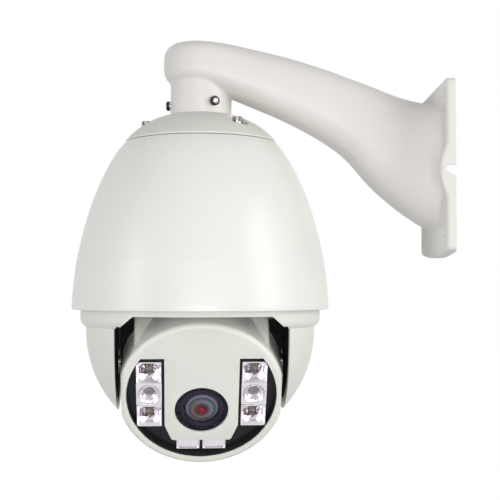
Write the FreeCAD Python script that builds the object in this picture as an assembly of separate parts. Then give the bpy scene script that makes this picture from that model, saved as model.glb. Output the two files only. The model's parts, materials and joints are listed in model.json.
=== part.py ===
import FreeCAD, Part
import math
import os

# PTZ dome camera on a gooseneck wall arm, in millimetres.
# The origin is the centre of the wall bolts on the plate's back face. +X points into the wall, +Z is up,
# and the camera looks along -Y. The head is drawn level, then tilted and panned to its rest pose.

V = FreeCAD.Vector
X_AXIS, Y_AXIS, Z_AXIS = V(1, 0, 0), V(0, 1, 0), V(0, 0, 1)
ORIGIN = V(0, 0, 0)

# ---- Overall places ----
ARM_REACH = 217.5  # wall face to the dome's vertical axis
PAN_REST = 3.85  # degrees about +Z
TILT_REST = 28.8  # degrees, face down
TILT_Z = -169.4  # height of the tilt axis

# ---- Clearances and common walls ----
SLIP = 0.2  # a part that slides into another by hand
RUN = 0.05  # radial gap between a shaft and its bearing
BELT_GAP = 0.3  # belt to pulley
M5, M5_HEAD, M5_HEAD_H = 5.0, 8.5, 5.2
M3, M3_HEAD, M3_HEAD_H = 3.0, 5.5, 2.4
THROUGH = 20.0  # a cut this long passes any wall
FAR = 200.0  # past the whole object

# ---- Wall plate ----
PLATE_WIDTH, PLATE_TOP, PLATE_FOOT, PLATE_THICK = 131.0, 74.0, -77.0, 8.0
PLATE_WALL, PLATE_RIM = 3.5, 5.0
PLATE_CORNER, PLATE_BOTTOM_ARCH = 5.0, 4.5
BOLT_SPACING_Y, BOLT_SPACING_Z, BOLT_HOLE = 106.0, 124.5, 7.6
BOLT_BOSS_R = 9.0
EARTH_HOLE, EARTH_Z = 4.0, 48.5
NOTCH_DEPTH, NOTCH_TOP, NOTCH_TIP, NOTCH_FOOT, NOTCH_CORNER = 8.2, 0.4, -4.4, -9.9, 1.8
BULGE_R, BULGE_RISE, BULGE_WALL, BULGE_Z = 21.5, 5.7, 3.0, -4.0

# ---- Gooseneck arm: distance from the wall, top, bottom, half width, squareness ----
ARM_WALL = 5.0
ARM_STATIONS = [
    (6.0, 60.0, -54.0, 46.0, 3.2),
    (12.0, 61.0, -50.5, 41.5, 3.2),
    (21.5, 61.9, -46.0, 38.5, 3.1),
    (43.0, 68.0, -31.0, 34.5, 3.0),
    (64.5, 77.0, -12.1, 31.5, 2.9),
    (86.0, 85.1, 12.2, 29.5, 2.8),
    (107.5, 93.2, 28.4, 28.5, 2.7),
    (140.0, 103.1, 46.4, 28.5, 2.7),
    (172.5, 110.6, 60.8, 30.4, 2.8),
    (198.0, 115.3, 71.5, 32.6, 3.1),
    (ARM_REACH, 117.0, 77.4, 33.6, 3.3),
]
SECTION_POINTS = 32
END_ANGLES = (16, 32, 46, 58, 68, 76, 82, 86)  # round the end, past the neck's axis

# ---- Neck socket and top cap ----
NECK_R, NECK_WALL, NECK_BOTTOM, NECK_TOP = 27.5, 6.3, 51.0, 92.0
NECK_BORE = NECK_R - NECK_WALL
NECK_SCREW_Z, NECK_SCREW_ANGLES = 61.0, (26.7, 146.7, 266.7)
NECK_SCREW_PROUD, NECK_SCREW_OFF = 3.4, 0.6
SPIGOT_BORE, SPIGOT_TOP = 15.0, 80.0
CAP_TOP_R, CAP_MID, CAP_EDGE = NECK_R + 1.5, (51.2, 42.0), (67.6, 27.8)
CAP_WALL, CAP_BOTTOM = 3.5, 26.5
CAP_SCREW_R, CAP_SCREW_ANGLES, CAP_SEAT_Z = 49.5, (42.0, 162.0, 282.0), 37.5
CAP_SEAT_R, CAP_SEAT_WALL, WASHER_R, WASHER_H, LOCK_WASHER_R, LOCK_WASHER_H = 9.5, 2.0, 5.4, 1.0, 4.6, 1.4

# ---- Bell housing: outer radius and height down its outside ----
SEAM_GAP, SEAL_INSET = 0.8, 0.9
BELL_TOP, BELL_CREASE = (68.2, CAP_BOTTOM - SEAM_GAP), (110.8, -80.8)
BELL_UPPER = [BELL_TOP, (74.2, 18.6), (82.6, 5.0), (92.7, -16.6), (100.3, -38.1), (106.1, -59.4), BELL_CREASE]
BELL_SKIRT = [BELL_CREASE, (113.1, -101.0), (114.5, -117.6), (114.5, -122.5)]
BELL_WALL, BELL_FLANGE_R, BELL_FLANGE_H = 3.0, 42.0, 3.0
BELL_BOSS_R, BELL_BOSS_H = 6.0, 9.0

# ---- Fixed chassis inside the bell ----
CHASSIS_R, CHASSIS_TOP, CHASSIS_THICK = 68.0, 11.0, 3.0
POST_R, POST_PITCH_R, POST_ANGLES = 4.0, 52.0, (102.0, 222.0, 342.0)
SHAFT_R, SHAFT_WALL, SHAFT_TOP, SHAFT_FOOT_R, SHAFT_FOOT_H = 15.0, 2.5, 6.0, 28.0, 4.0
SHAFT_BORE = SHAFT_R - SHAFT_WALL
BEARING_H, BEARING_TOPS, RACE_WALL, RACE_GAP, BALLS = 8.0, (2.0, -48.0), 4.0, 5.0, 14
INNER_RACE_R = SHAFT_R + RACE_WALL
OUTER_RACE_BORE = INNER_RACE_R + RACE_GAP
OUTER_RACE_R, BALL_R = OUTER_RACE_BORE + RACE_WALL, RACE_GAP / 2 - SLIP
HUB_R, HUB_FLANGE_H, HUB_BOTTOM = OUTER_RACE_R + 4.0, 4.0, -62.0
HUB_FLANGE_R = HUB_R + 13.0
PULLEY_R, PULLEY_H, PULLEY_TOP, PULLEY_TEETH = HUB_R + 8.0, 8.0, -54.0, 80
BOARD_R, BOARD_HOLE, BOARD_THICK, BOARD_Z = 84.0, HUB_R + 6.0, 1.6, -20.0
BOARD_POST_R, BOARD_POST_ANGLES = 60.0, (60.0, 180.0, 300.0)
CAPACITORS, CAPACITOR_R, CAPACITOR_H = ((0, 52), (14, 58), (120, 50), (200, 52), (322, 54)), 5.0, 14.0
BLOCKS, BLOCK_PLACE_R = ((80, (22, 18, 15)), (240, (20, 14, 12)), (285, (10, 10, 3))), 60.0
TERMINALS, TERMINAL_PITCH, TERMINAL_Y, TERMINAL_DEPTH, TERMINAL_H = 5, 6.0, 66.0, 10.0, 9.0
SLIP_RING_R, SLIP_RING_BOTTOM, SLIP_RING_STUB_R = SHAFT_BORE - 1.5, -40.0, 7.0
SLIP_RING_FLANGE_R, SLIP_RING_FLANGE_H = SLIP_RING_R + 7.0, 2.5
FAN_SIZE, FAN_H, FAN_X, FAN_BORE, FAN_HUB, FAN_AXLE_R, FAN_BLADES = 40.0, 10.0, -60.0, 18.5, 9.0, 1.2, 7
HEATER_X, HEATER_SIZE, HEATER_FINS, HEATER_PITCH = 48.0, (28.0, 26.0, 10.0), 6, 4.0

# ---- Rotating yoke, collar and ears ----
YOKE_R, YOKE_TOP, YOKE_THICK = 92.0, -84.0, 4.0
COLLAR_R, COLLAR_TOP, COLLAR_EDGE, COLLAR_BOTTOM = 106.8, -117.0, -132.0, -137.3
COLLAR_LIP_R, COLLAR_WALL, COLLAR_FLOOR = 102.6, 3.0, 3.0
WINDOW_TOP, WINDOW_HALF, WINDOW_FOOT_HALF = -127.0, 57.0, 69.0
EAR_R, EAR_Z, EAR_WALL = 101.7, -140.8, 2.6
FRAME_X, FRAME_THICK, FRAME_HALF_Y = 73.0, 5.0, 32.0
FRAME_OUT = FRAME_X + FRAME_THICK
EAR_FRAME_GAP, THROAT_LAP, THROAT_SLIP = 0.3, 1.0, 0.6
WELL_X, WELL_Y = FRAME_X - 1.5, 80.0
FRAME_SCREW_Y, FRAME_SCREW_LENGTH = 24.0, 12.0
PAN_MOTOR_Y, MOTOR_SIZE, MOTOR_H, MOTOR_CORNER, MOTOR_SHAFT_R, MOTOR_BOSS_R = 62.0, 35.0, 20.0, 3.0, 2.5, 11.0
MOTOR_SCREW_AT = 13.0
MOTOR_PULLEY_R, MOTOR_TEETH = 8.0, 16
BELT_THICK, BELT_INSET = 1.6, 1.0
TILT_MOTOR_X, TILT_MOTOR_Z, TILT_MOTOR_LENGTH = 45.0, -66.0, 25.0
TILT_PULLEY_R, TILT_PULLEY_X, TILT_PULLEY_H, TILT_TEETH = 20.0, FRAME_OUT + 1.0, 6.0, 40
TILT_SHAFT_R, TILT_SHAFT_WALL, SHAFT_FLANGE_H = 6.0, 2.0, 3.0
TILT_SHAFT_BORE, TILT_BEARING_R = TILT_SHAFT_R - TILT_SHAFT_WALL, TILT_SHAFT_R + 5.0
CONTROL_HALF_X, CONTROL_Y0, CONTROL_Y1, CONTROL_STAND_H = 48.0, -72.0, -34.0, 5.0

# ---- Tilting head, in its own level frame with the tilt axis through its origin ----
FACE_Y, DRUM_R, DRUM_HALF_X, DRUM_BACK, SHELL_WALL = -56.0, 71.3, 68.4, -18.0, 2.6
RIM_R, RIM_INNER_R, FACE_THICK = 4.5, 64.0, 3.0
BARREL_R, BARREL_WALL, BARREL_FRONT, BARREL_BACK = 19.0, 3.0, FACE_Y + 5.5, -4.0
BARREL_BORE = BARREL_R - BARREL_WALL
LENS_Z, WINDOW_R, WINDOW_RING_DEPTH, WINDOW_INSET, GLASS_THICK = -13.9, BARREL_R + 2.3, 1.5, 1.8, 1.2
WINDOW_RING_R = WINDOW_R + 1.6
PLATE_HALF_U, PLATE_NECK_U, PLATE_NECK_V, PLATE_CORNER_R = 31.5, 25.5, -29.5, 3.0
PLATE_FOOT_V = LENS_Z - WINDOW_RING_R - 8.0
RECESS_TOP_V = 38.5
PANEL_Y, PANEL_THICK, PANEL_LIP, PANEL_LIP_Y = FACE_Y + 7.0, 2.0, 1.0, FACE_Y + 1.5
LAMP_SIZE, LAMP_PITCH, LAMP_U, LAMP_MID_V, LAMP_FRONT = 21.6, 21.9, 44.7, 0.8, FACE_Y + 2.5
LAMP_MOUTH_HALF, LAMP_DOME_R, LAMP_DOME_RISE = 9.4, 10.5, 2.5
LOWER_LAMP_SIZE, LOWER_LAMP_U, LOWER_LAMP_GAP, LOWER_LAMP_FRONT = 20.4, 11.4, 4.1, FACE_Y + 3.4
LOWER_LAMP_V = LENS_Z - BARREL_R - LOWER_LAMP_SIZE / 2 - LOWER_LAMP_GAP
LAMP_BOARD_Y, LAMP_BOARD_R, EMITTER, EMITTER_H, EMITTER_ROOM = FACE_Y + 17.0, 60.0, 5.0, 1.4, 0.5
REAR_HALF_X, REAR_R, REAR_Y = 57.5, 60.0, -4.0
REAR_CORNER, REAR_FLANGE, TUNNEL_WALL = 4.0, 3.0, 1.6
HEAD_SCREW_X, HEAD_SCREW_Z, HEAD_POST_R, HEAD_POST_LENGTH = 40.0, 47.0, 4.0, 16.0
HUB_BOSS_R, HUB_BOSS_X, HUB_BOSS_ROOT = TILT_BEARING_R + 3.0, FRAME_X - 2.0, 45.0
HUB_COVER_R, HUB_COVER_X, HUB_COVER_WALL = 38.0, FRAME_X - 2.5, 2.0
LENS_BALL_R, LENS_EDGE, LENS_SLIP = 26.0, 1.5, 0.4
CARRIAGE_R, CARRIAGE_H, ROD_R, ROD_PITCH_R = BARREL_BORE - 0.4, 5.0, 1.0, BARREL_BORE - 2.8
ZOOM_Y, ZOOM_GLASS_R, FOCUS_Y, FOCUS_GLASS_R = BARREL_FRONT + 10.5, 9.0, -18.0, 7.0
CAMERA_HALF, CAMERA_BACK, CAMERA_WALL = 25.0, 38.0, 2.0
SENSOR_Y, SENSOR_HALF, SENSOR_PEG_AT = 20.0, 19.0, 15.0


# ---- Helpers ----
def box(x0, x1, y0, y1, z0, z1):
    return Part.makeBox(x1 - x0, y1 - y0, z1 - z0, V(x0, y0, z0))


def rod(r, length, at=ORIGIN, axis=Z_AXIS):
    return Part.makeCylinder(r, length, at, axis)


def tube(r_out, r_in, length, at=ORIGIN, axis=Z_AXIS):
    return rod(r_out, length, at, axis).cut(rod(r_in, length, at, axis))


def fuse(shapes):
    shapes = list(shapes)
    return shapes[0].multiFuse(shapes[1:]).removeSplitter()


def around(angle, radius, z=0.0):
    """A point at an angle from the front (-Y) towards +X."""
    a = math.radians(angle)
    return V(radius * math.sin(a), -radius * math.cos(a), z)


def line(a, b):
    return Part.LineSegment(a, b).toShape()


def spun(edges, axis=Z_AXIS):
    return Part.Face(Part.Wire(edges)).revolve(ORIGIN, axis, 360)


def polygon(points):
    return Part.Face(Part.makePolygon(points + points[:1]))


def curve_through(points):
    curve = Part.BSplineCurve()
    curve.interpolate(points)
    return curve


def save(node, shapes):
    shapes = shapes if isinstance(shapes, list) else [shapes]
    for shape in shapes:
        if not shape.isValid():
            print("not valid:", node)
    shape = shapes[0] if len(shapes) == 1 else Part.makeCompound(shapes)
    shape.exportStep("parts/" + node + ".step")
    print(node, len(shape.Solids), round(shape.Volume))


def moved(shape, offset):
    shape = shape.copy()
    shape.translate(offset)
    return shape


def each(shapes, move):
    return [move(s) for s in shapes] if isinstance(shapes, list) else move(shapes)


def in_dome(shape):
    """From the dome's vertical axis to the wall frame."""
    return moved(shape, V(-ARM_REACH, 0, 0))


def in_pan(shape):
    shape = shape.copy()
    shape.rotate(ORIGIN, Z_AXIS, PAN_REST)
    return in_dome(shape)


def in_head(shape):
    shape = shape.copy()
    shape.rotate(ORIGIN, X_AXIS, TILT_REST)
    shape.translate(V(0, 0, TILT_Z))
    return in_pan(shape)


def socket_screw(size, head, head_h, shank):
    """A socket-head screw standing on z = 0 with its shank below."""
    body = fuse([rod(head / 2, head_h), rod(size / 2, shank, V(0, 0, -shank))])
    socket = rod(size * 0.42, head_h * 0.55, V(0, 0, head_h * 0.45))
    return body.cut(socket).makeFillet(head * 0.04, [top_edge(body.cut(socket), head / 2, head_h)])


def top_edge(shape, r, z):
    """The circular edge of radius r that lies at height z."""
    for edge in shape.Edges:
        c = edge.Curve
        if isinstance(c, Part.Circle) and abs(c.Radius - r) < 1e-6 and abs(c.Center.z - z) < 1e-6:
            return edge
    raise ValueError("no edge of radius %s at %s" % (r, z))


def toothed_pulley(r, height, bore, teeth, depth=0.8):
    """A belt pulley on +Z from z = 0, with a square-cut tooth for each space."""
    body = tube(r, bore, height)
    space = math.pi * r / teeth
    cuts = []
    for i in range(teeth):
        cut = box(r - depth, r + 1, -space / 2, space / 2, 0.8, height - 0.8)
        cut.rotate(ORIGIN, Z_AXIS, 360.0 * i / teeth)
        cuts.append(cut)
    return body.cut(cuts)


def belt_loop(r_a, r_b, distance, width):
    """A belt round two pulleys on parallel Z axes, at the origin and at +Y distance."""

    def outline(grow):
        a, b = r_a + grow, r_b + grow
        lean = math.asin((a - b) / distance)
        side = V(math.cos(lean), math.sin(lean), 0)
        p, q = side * a, V(0, distance, 0) + side * b
        flip = lambda v: V(-v.x, v.y, 0)
        arcs = [
            Part.Arc(flip(p), V(0, -a, 0), p).toShape(),
            line(p, q),
            Part.Arc(q, V(0, distance + b, 0), flip(q)).toShape(),
            line(flip(q), flip(p)),
        ]
        return Part.Face(Part.Wire(arcs))

    ring = outline(BELT_GAP + BELT_THICK).cut(outline(BELT_GAP))
    return ring.extrude(V(0, 0, width))


# ---- Wall bracket: one casting, in two nodes that meet at the plate's face ----
def arm_section(station, inset):
    """A rounded-square section of the arm across X, with its sides moved in by the inset."""
    reach, top, bottom, half, power = station
    middle, rise = (top + bottom) / 2, (top - bottom) / 2 - inset
    points = []
    for i in range(SECTION_POINTS):
        a = 2 * math.pi * i / SECTION_POINTS
        c, s = math.cos(a), math.sin(a)
        y = math.copysign(abs(c) ** (2 / power), c) * (half - inset)
        z = math.copysign(abs(s) ** (2 / power), s) * rise + middle
        points.append(V(-reach, y, z))
    curve = Part.BSplineCurve()
    curve.interpolate(Points=points, PeriodicFlag=True)
    return Part.Wire(curve.toShape())


def end_stations(inset):
    """Sections past the neck's axis, narrowing as the last one would if turned about that axis."""
    reach, top, bottom, half, power = ARM_STATIONS[-1]
    middle, rise, radius = (top + bottom) / 2, (top - bottom) / 2 - inset, half - inset
    stations = []
    for angle in END_ANGLES:
        past = radius * math.sin(math.radians(angle))
        high = rise * (1 - (past / radius) ** power) ** (1 / power) + inset
        wide = radius * math.cos(math.radians(angle)) + inset
        stations.append((reach + past, middle + high, middle - high, wide, power))
    return stations


def arm_solid(inset):
    stations = ARM_STATIONS + end_stations(inset)
    return Part.makeLoft([arm_section(s, inset) for s in stations], True, False)


def plate_outline(inset, depth):
    """The plate's rounded outline, with a bottom edge that bows down, from the wall outwards."""
    half, top = PLATE_WIDTH / 2 - inset, PLATE_TOP - inset
    foot = PLATE_FOOT + PLATE_BOTTOM_ARCH + inset
    edges = [
        line(V(0, -half, foot), V(0, -half, top)),
        line(V(0, -half, top), V(0, half, top)),
        line(V(0, half, top), V(0, half, foot)),
        Part.Arc(V(0, half, foot), V(0, 0, foot - PLATE_BOTTOM_ARCH), V(0, -half, foot)).toShape(),
    ]
    slab = Part.Face(Part.Wire(edges)).extrude(V(-depth, 0, 0))
    corners = [
        e for e in slab.Edges
        if abs(abs(e.CenterOfMass.y) - half) < 1e-3 and abs(e.CenterOfMass.x + depth / 2) < 1e-3
        and e.Length < depth + 0.1
    ]
    return slab.makeFillet(max(1.0, PLATE_CORNER - inset), corners)


def bolt_places():
    return [
        V(0, sy * BOLT_SPACING_Y / 2, sz * BOLT_SPACING_Z / 2)
        for sy in (-1, 1)
        for sz in (-1, 1)
    ]


def bulge_solid(inset):
    """The domed swelling over the cable notch at the plate's -Y edge, its skin moved in by the inset."""
    edge_y, height = -PLATE_WIDTH / 2, PLATE_THICK + BULGE_RISE
    ball_r = (BULGE_R ** 2 + BULGE_RISE ** 2) / (2 * BULGE_RISE)
    ball = Part.makeSphere(ball_r - inset, V(ball_r - height, edge_y, BULGE_Z))
    return ball.common(box(-height, 0, edge_y, 0, BULGE_Z - BULGE_R, BULGE_Z + BULGE_R))


def notch_cut():
    """The cable notch: level above, round at its end and sloping below."""
    slope = (NOTCH_TIP - NOTCH_FOOT) / NOTCH_DEPTH
    edge_y = -PLATE_WIDTH / 2 - 1
    points = [V(1, edge_y, NOTCH_TOP), V(-NOTCH_DEPTH, edge_y, NOTCH_TOP),
              V(-NOTCH_DEPTH, edge_y, NOTCH_TIP), V(1, edge_y, NOTCH_FOOT - slope)]
    notch = polygon(points).extrude(V(0, PLATE_RIM + 2, 0))
    ends = [e for e in notch.Edges if abs(e.CenterOfMass.x + NOTCH_DEPTH) < 1e-6 and e.Length > PLATE_RIM]
    return notch.makeFillet(NOTCH_CORNER, ends)


def wall_plate():
    """The arm's foot, hollow behind: one casting with the arm, up to the arm's outline."""
    outward, edge_y = V(-1, 0, 0), -PLATE_WIDTH / 2
    earth_at = V(0, -BOLT_SPACING_Y / 2, EARTH_Z)
    body = fuse([plate_outline(0, PLATE_THICK), bulge_solid(0)])
    bosses = [rod(BOLT_BOSS_R, PLATE_THICK, p, outward) for p in bolt_places()]
    pocket = plate_outline(PLATE_RIM, PLATE_THICK - PLATE_WALL).cut(bosses)
    behind = box(-FAR, 0, edge_y + PLATE_RIM, 0, BULGE_Z - BULGE_R, BULGE_Z + BULGE_R)
    foot = ARM_STATIONS[0]
    mouth = Part.Face(arm_section(foot, ARM_WALL)).extrude(V(foot[0] + 1, 0, 0))
    cuts = [pocket, bulge_solid(BULGE_WALL).common(behind), notch_cut(), mouth, arm_solid(ARM_WALL)]
    cuts += [rod(BOLT_HOLE / 2, PLATE_THICK, p, outward) for p in bolt_places()]
    cuts.append(rod(EARTH_HOLE / 2, PLATE_THICK, earth_at, outward))
    return body.cut(cuts)


def gooseneck_arm():
    """The hollow arm from the plate's face, down to the socket that holds the cap's spigot."""
    neck = in_dome(rod(NECK_R, NECK_TOP - NECK_BOTTOM, V(0, 0, NECK_BOTTOM)))
    behind_face = box(-PLATE_THICK, 0, -FAR, FAR, -FAR, FAR)
    body = fuse([neck, arm_solid(0)]).cut([behind_face, bulge_solid(0)])
    cuts = [in_dome(rod(NECK_BORE, NECK_TOP - 2 - NECK_BOTTOM, V(0, 0, NECK_BOTTOM))), arm_solid(ARM_WALL)]
    for angle in NECK_SCREW_ANGLES:
        at = around(angle, NECK_R + 1, NECK_SCREW_Z)
        cuts.append(in_dome(rod(M5 / 2, NECK_WALL + 2, at, V(-at.x, -at.y, 0))))
    return body.cut(cuts)


def neck_screws():
    """Three screws that press on the cap's spigot, heads just clear of the neck."""
    screws = []
    reach, socket = NECK_WALL + SLIP, M3_HEAD_H
    for angle in NECK_SCREW_ANGLES:
        head = rod(M5_HEAD / 2, NECK_SCREW_PROUD, V(0, 0, NECK_SCREW_OFF))
        shank = rod(M5 / 2, reach + NECK_SCREW_OFF, V(0, 0, -reach))
        hexagon = rod(M5 * 0.42, socket, V(0, 0, NECK_SCREW_PROUD + NECK_SCREW_OFF - socket))
        screw = fuse([head, shank]).cut(hexagon)
        screw.rotate(ORIGIN, X_AXIS, 90)
        screw.translate(V(0, -NECK_R, NECK_SCREW_Z))
        screw.rotate(ORIGIN, Z_AXIS, angle)
        screws.append(in_dome(screw))
    return screws


def earth_screw():
    """The earth terminal's screw, its head in the pocket behind the plate."""
    screw = socket_screw(EARTH_HOLE, 7.0, 2.6, PLATE_WALL - 0.8)
    screw.rotate(ORIGIN, Y_AXIS, 90)
    screw.translate(V(PLATE_WALL - PLATE_THICK, -BOLT_SPACING_Y / 2, EARTH_Z))
    return screw


# ---- Top cap ----
def top_cap():
    mid, edge = CAP_MID, CAP_EDGE
    top, brim = V(CAP_TOP_R, 0, NECK_BOTTOM), V(edge[0], 0, edge[1])
    foot, centre_foot, centre_top = V(edge[0], 0, CAP_BOTTOM), V(0, 0, CAP_BOTTOM), V(0, 0, NECK_BOTTOM)
    crown = Part.Arc(top, V(mid[0], 0, mid[1]), brim).toShape()
    dome = spun([crown, line(brim, foot), line(foot, centre_foot), line(centre_foot, centre_top),
                 line(centre_top, top)])
    w = CAP_WALL
    a, b = V(CAP_TOP_R - 2, 0, NECK_BOTTOM - w), V(edge[0] - w, 0, edge[1] - w)
    inner_arc = Part.Arc(a, V(mid[0] - w * 0.6, 0, mid[1] - w), b).toShape()
    b_centre, a_centre = V(0, 0, b.z), V(0, 0, a.z)
    hollow = spun([inner_arc, line(b, b_centre), line(b_centre, a_centre), line(a_centre, a)])
    spigot = rod(NECK_BORE - SLIP, SPIGOT_TOP - NECK_BOTTOM + w, V(0, 0, NECK_BOTTOM - w))
    seat_r, seat_h = CAP_SEAT_R + CAP_SEAT_WALL, NECK_BOTTOM - CAP_BOTTOM
    seats = [rod(seat_r, seat_h, around(t, CAP_SCREW_R, CAP_BOTTOM)).common(dome) for t in CAP_SCREW_ANGLES]
    body = fuse([dome.cut(hollow), spigot] + seats)
    cuts = [rod(SPIGOT_BORE, FAR, V(0, 0, CAP_BOTTOM - 1))]
    for t in CAP_SCREW_ANGLES:
        cuts.append(rod(CAP_SEAT_R, THROUGH, around(t, CAP_SCREW_R, CAP_SEAT_Z)))
        cuts.append(rod(M5 / 2 + SLIP, THROUGH, around(t, CAP_SCREW_R, CAP_BOTTOM - 1)))
    return in_dome(body.cut(cuts))


def cap_fasteners():
    screws, washers = [], []
    seat = CAP_SEAT_Z + WASHER_H + LOCK_WASHER_H
    length = seat - (CAP_BOTTOM - SEAM_GAP) + BELL_FLANGE_H + 4
    for t in CAP_SCREW_ANGLES:
        at = around(t, CAP_SCREW_R)
        screws.append(in_dome(moved(socket_screw(M5, M5_HEAD, M5_HEAD_H, length), at + V(0, 0, seat))))
        low, high = at + V(0, 0, CAP_SEAT_Z), at + V(0, 0, CAP_SEAT_Z + WASHER_H)
        washers.append(in_dome(tube(WASHER_R, M5 / 2 + SLIP, WASHER_H, low)))
        washers.append(in_dome(tube(LOCK_WASHER_R, M5 / 2 + SLIP, LOCK_WASHER_H, high)))
    return screws, washers


def cap_seal():
    """A flat ring in the seam, set in from the outside."""
    ring = tube(CAP_EDGE[0] - SEAL_INSET, CAP_EDGE[0] - CAP_WALL, SEAM_GAP, V(0, 0, CAP_BOTTOM - SEAM_GAP))
    return in_dome(ring)


# ---- Bell housing ----
def stepped_in(points, wall):
    """The same outline moved in square to itself by the wall."""
    inner = []
    for i, (r, z) in enumerate(points):
        r0, z0 = points[max(0, i - 1)]
        r1, z1 = points[min(len(points) - 1, i + 1)]
        along = math.hypot(r1 - r0, z1 - z0)
        inner.append((r + wall * (z1 - z0) / along, z - wall * (r1 - r0) / along))
    return inner


def bell_housing():
    outer_upper = curve_through([V(r, 0, z) for r, z in BELL_UPPER]).toShape()
    skirt = [V(r, 0, z) for r, z in BELL_SKIRT]
    outer_skirt = Part.Arc(skirt[0], skirt[1], skirt[2]).toShape()
    top, rim = V(BELL_UPPER[0][0], 0, BELL_UPPER[0][1]), skirt[3]
    solid = spun([outer_upper, outer_skirt, line(skirt[2], rim), line(rim, V(0, 0, rim.z)),
                  line(V(0, 0, rim.z), V(0, 0, top.z)), line(V(0, 0, top.z), top)])
    inner = stepped_in(BELL_UPPER, BELL_WALL)
    ceiling = top.z - BELL_FLANGE_H
    inner[0] = (inner[0][0] + BELL_WALL * 0.6, ceiling)
    inner_upper = curve_through([V(r, 0, z) for r, z in inner]).toShape()
    last = V(inner[-1][0], 0, inner[-1][1])
    edge = V(rim.x - BELL_WALL, 0, rim.z)
    step, edge_centre, top_centre = V(edge.x, 0, skirt[2].z), V(0, 0, edge.z), V(0, 0, ceiling)
    hollow = spun([inner_upper, line(last, step), line(step, edge), line(edge, edge_centre),
                   line(edge_centre, top_centre), line(top_centre, V(inner[0][0], 0, ceiling))])
    body = solid.cut(hollow).cut(rod(BELL_FLANGE_R, THROUGH, V(0, 0, ceiling - 5)))
    low = ceiling - BELL_BOSS_H
    bosses = [rod(BELL_BOSS_R, BELL_BOSS_H, around(t, CAP_SCREW_R, low)) for t in CAP_SCREW_ANGLES]
    holes = [rod(M5 / 2, THROUGH, around(t, CAP_SCREW_R, low - 1)) for t in CAP_SCREW_ANGLES]
    holes += [rod(M3 / 2, THROUGH, around(t, POST_PITCH_R, ceiling - 1)) for t in POST_ANGLES]
    return in_dome(fuse([body] + bosses).cut(holes))


# ---- Fixed chassis ----
def chassis():
    ceiling = BELL_UPPER[0][1] - BELL_FLANGE_H
    under = CHASSIS_TOP - CHASSIS_THICK
    plate = tube(CHASSIS_R, SLIP_RING_R + SLIP, CHASSIS_THICK, V(0, 0, under))
    upper_places = [around(t, POST_PITCH_R) for t in POST_ANGLES]
    board_places = [around(t, BOARD_POST_R) for t in BOARD_POST_ANGLES]
    plate = plate.cut([rod(M3 / 2, THROUGH, at + V(0, 0, under - 5)) for at in upper_places + board_places])
    board_top = BOARD_Z + BOARD_THICK
    posts = [tube(POST_R, M3 / 2, ceiling - CHASSIS_TOP, at + V(0, 0, CHASSIS_TOP)) for at in upper_places]
    posts += [tube(POST_R, M3 / 2, under - board_top, at + V(0, 0, board_top)) for at in board_places]
    screws = []
    kinds = [(upper_places, under, ceiling - under + 2), (board_places, BOARD_Z, BOARD_THICK + 8)]
    for places, head_z, shank in kinds:
        screw = socket_screw(M3, M3_HEAD, M3_HEAD_H, shank)
        screw.rotate(ORIGIN, X_AXIS, 180)
        screws += [moved(screw, at + V(0, 0, head_z)) for at in places]
    return plate, posts, screws


def bearing_housing():
    under = CHASSIS_TOP - CHASSIS_THICK
    body = fuse([rod(HUB_FLANGE_R, HUB_FLANGE_H, V(0, 0, under - HUB_FLANGE_H)),
                 rod(HUB_R, under - HUB_BOTTOM, V(0, 0, HUB_BOTTOM))])
    cuts = [rod(OUTER_RACE_BORE + 0.5, under - HUB_BOTTOM + 2, V(0, 0, HUB_BOTTOM - 1))]
    upper, lower = BEARING_TOPS
    cuts.append(rod(OUTER_RACE_R, THROUGH, V(0, 0, upper - BEARING_H)))
    cuts.append(rod(OUTER_RACE_R, lower - HUB_BOTTOM + 1, V(0, 0, HUB_BOTTOM - 1)))
    return body.cut(cuts)


def bearings():
    outer, inner, balls = [], [], []
    for top in BEARING_TOPS:
        low, mid_z = V(0, 0, top - BEARING_H), top - BEARING_H / 2
        outer.append(tube(OUTER_RACE_R, OUTER_RACE_BORE, BEARING_H, low))
        inner.append(tube(INNER_RACE_R, SHAFT_R, BEARING_H, low))
        pitch = (INNER_RACE_R + OUTER_RACE_BORE) / 2
        for i in range(BALLS):
            balls.append(Part.makeSphere(BALL_R, around(360.0 * i / BALLS, pitch, mid_z)))
    return outer, inner, balls


def fixed_pulley():
    pulley = toothed_pulley(PULLEY_R, PULLEY_H, HUB_R, PULLEY_TEETH)
    return moved(pulley, V(0, 0, PULLEY_TOP - PULLEY_H))


def slip_ring():
    body = rod(SLIP_RING_R, CHASSIS_TOP - SLIP_RING_BOTTOM, V(0, 0, SLIP_RING_BOTTOM))
    flange = rod(SLIP_RING_FLANGE_R, SLIP_RING_FLANGE_H, V(0, 0, CHASSIS_TOP))
    foot_top, stub_top = YOKE_TOP + SHAFT_FOOT_H, SLIP_RING_BOTTOM - 0.5
    stub = rod(SLIP_RING_STUB_R, stub_top - foot_top, V(0, 0, foot_top))
    rotor = fuse([stub, rod(SHAFT_BORE - SLIP, SHAFT_FOOT_H, V(0, 0, YOKE_TOP))])
    return fuse([body, flange]), rotor


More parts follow.
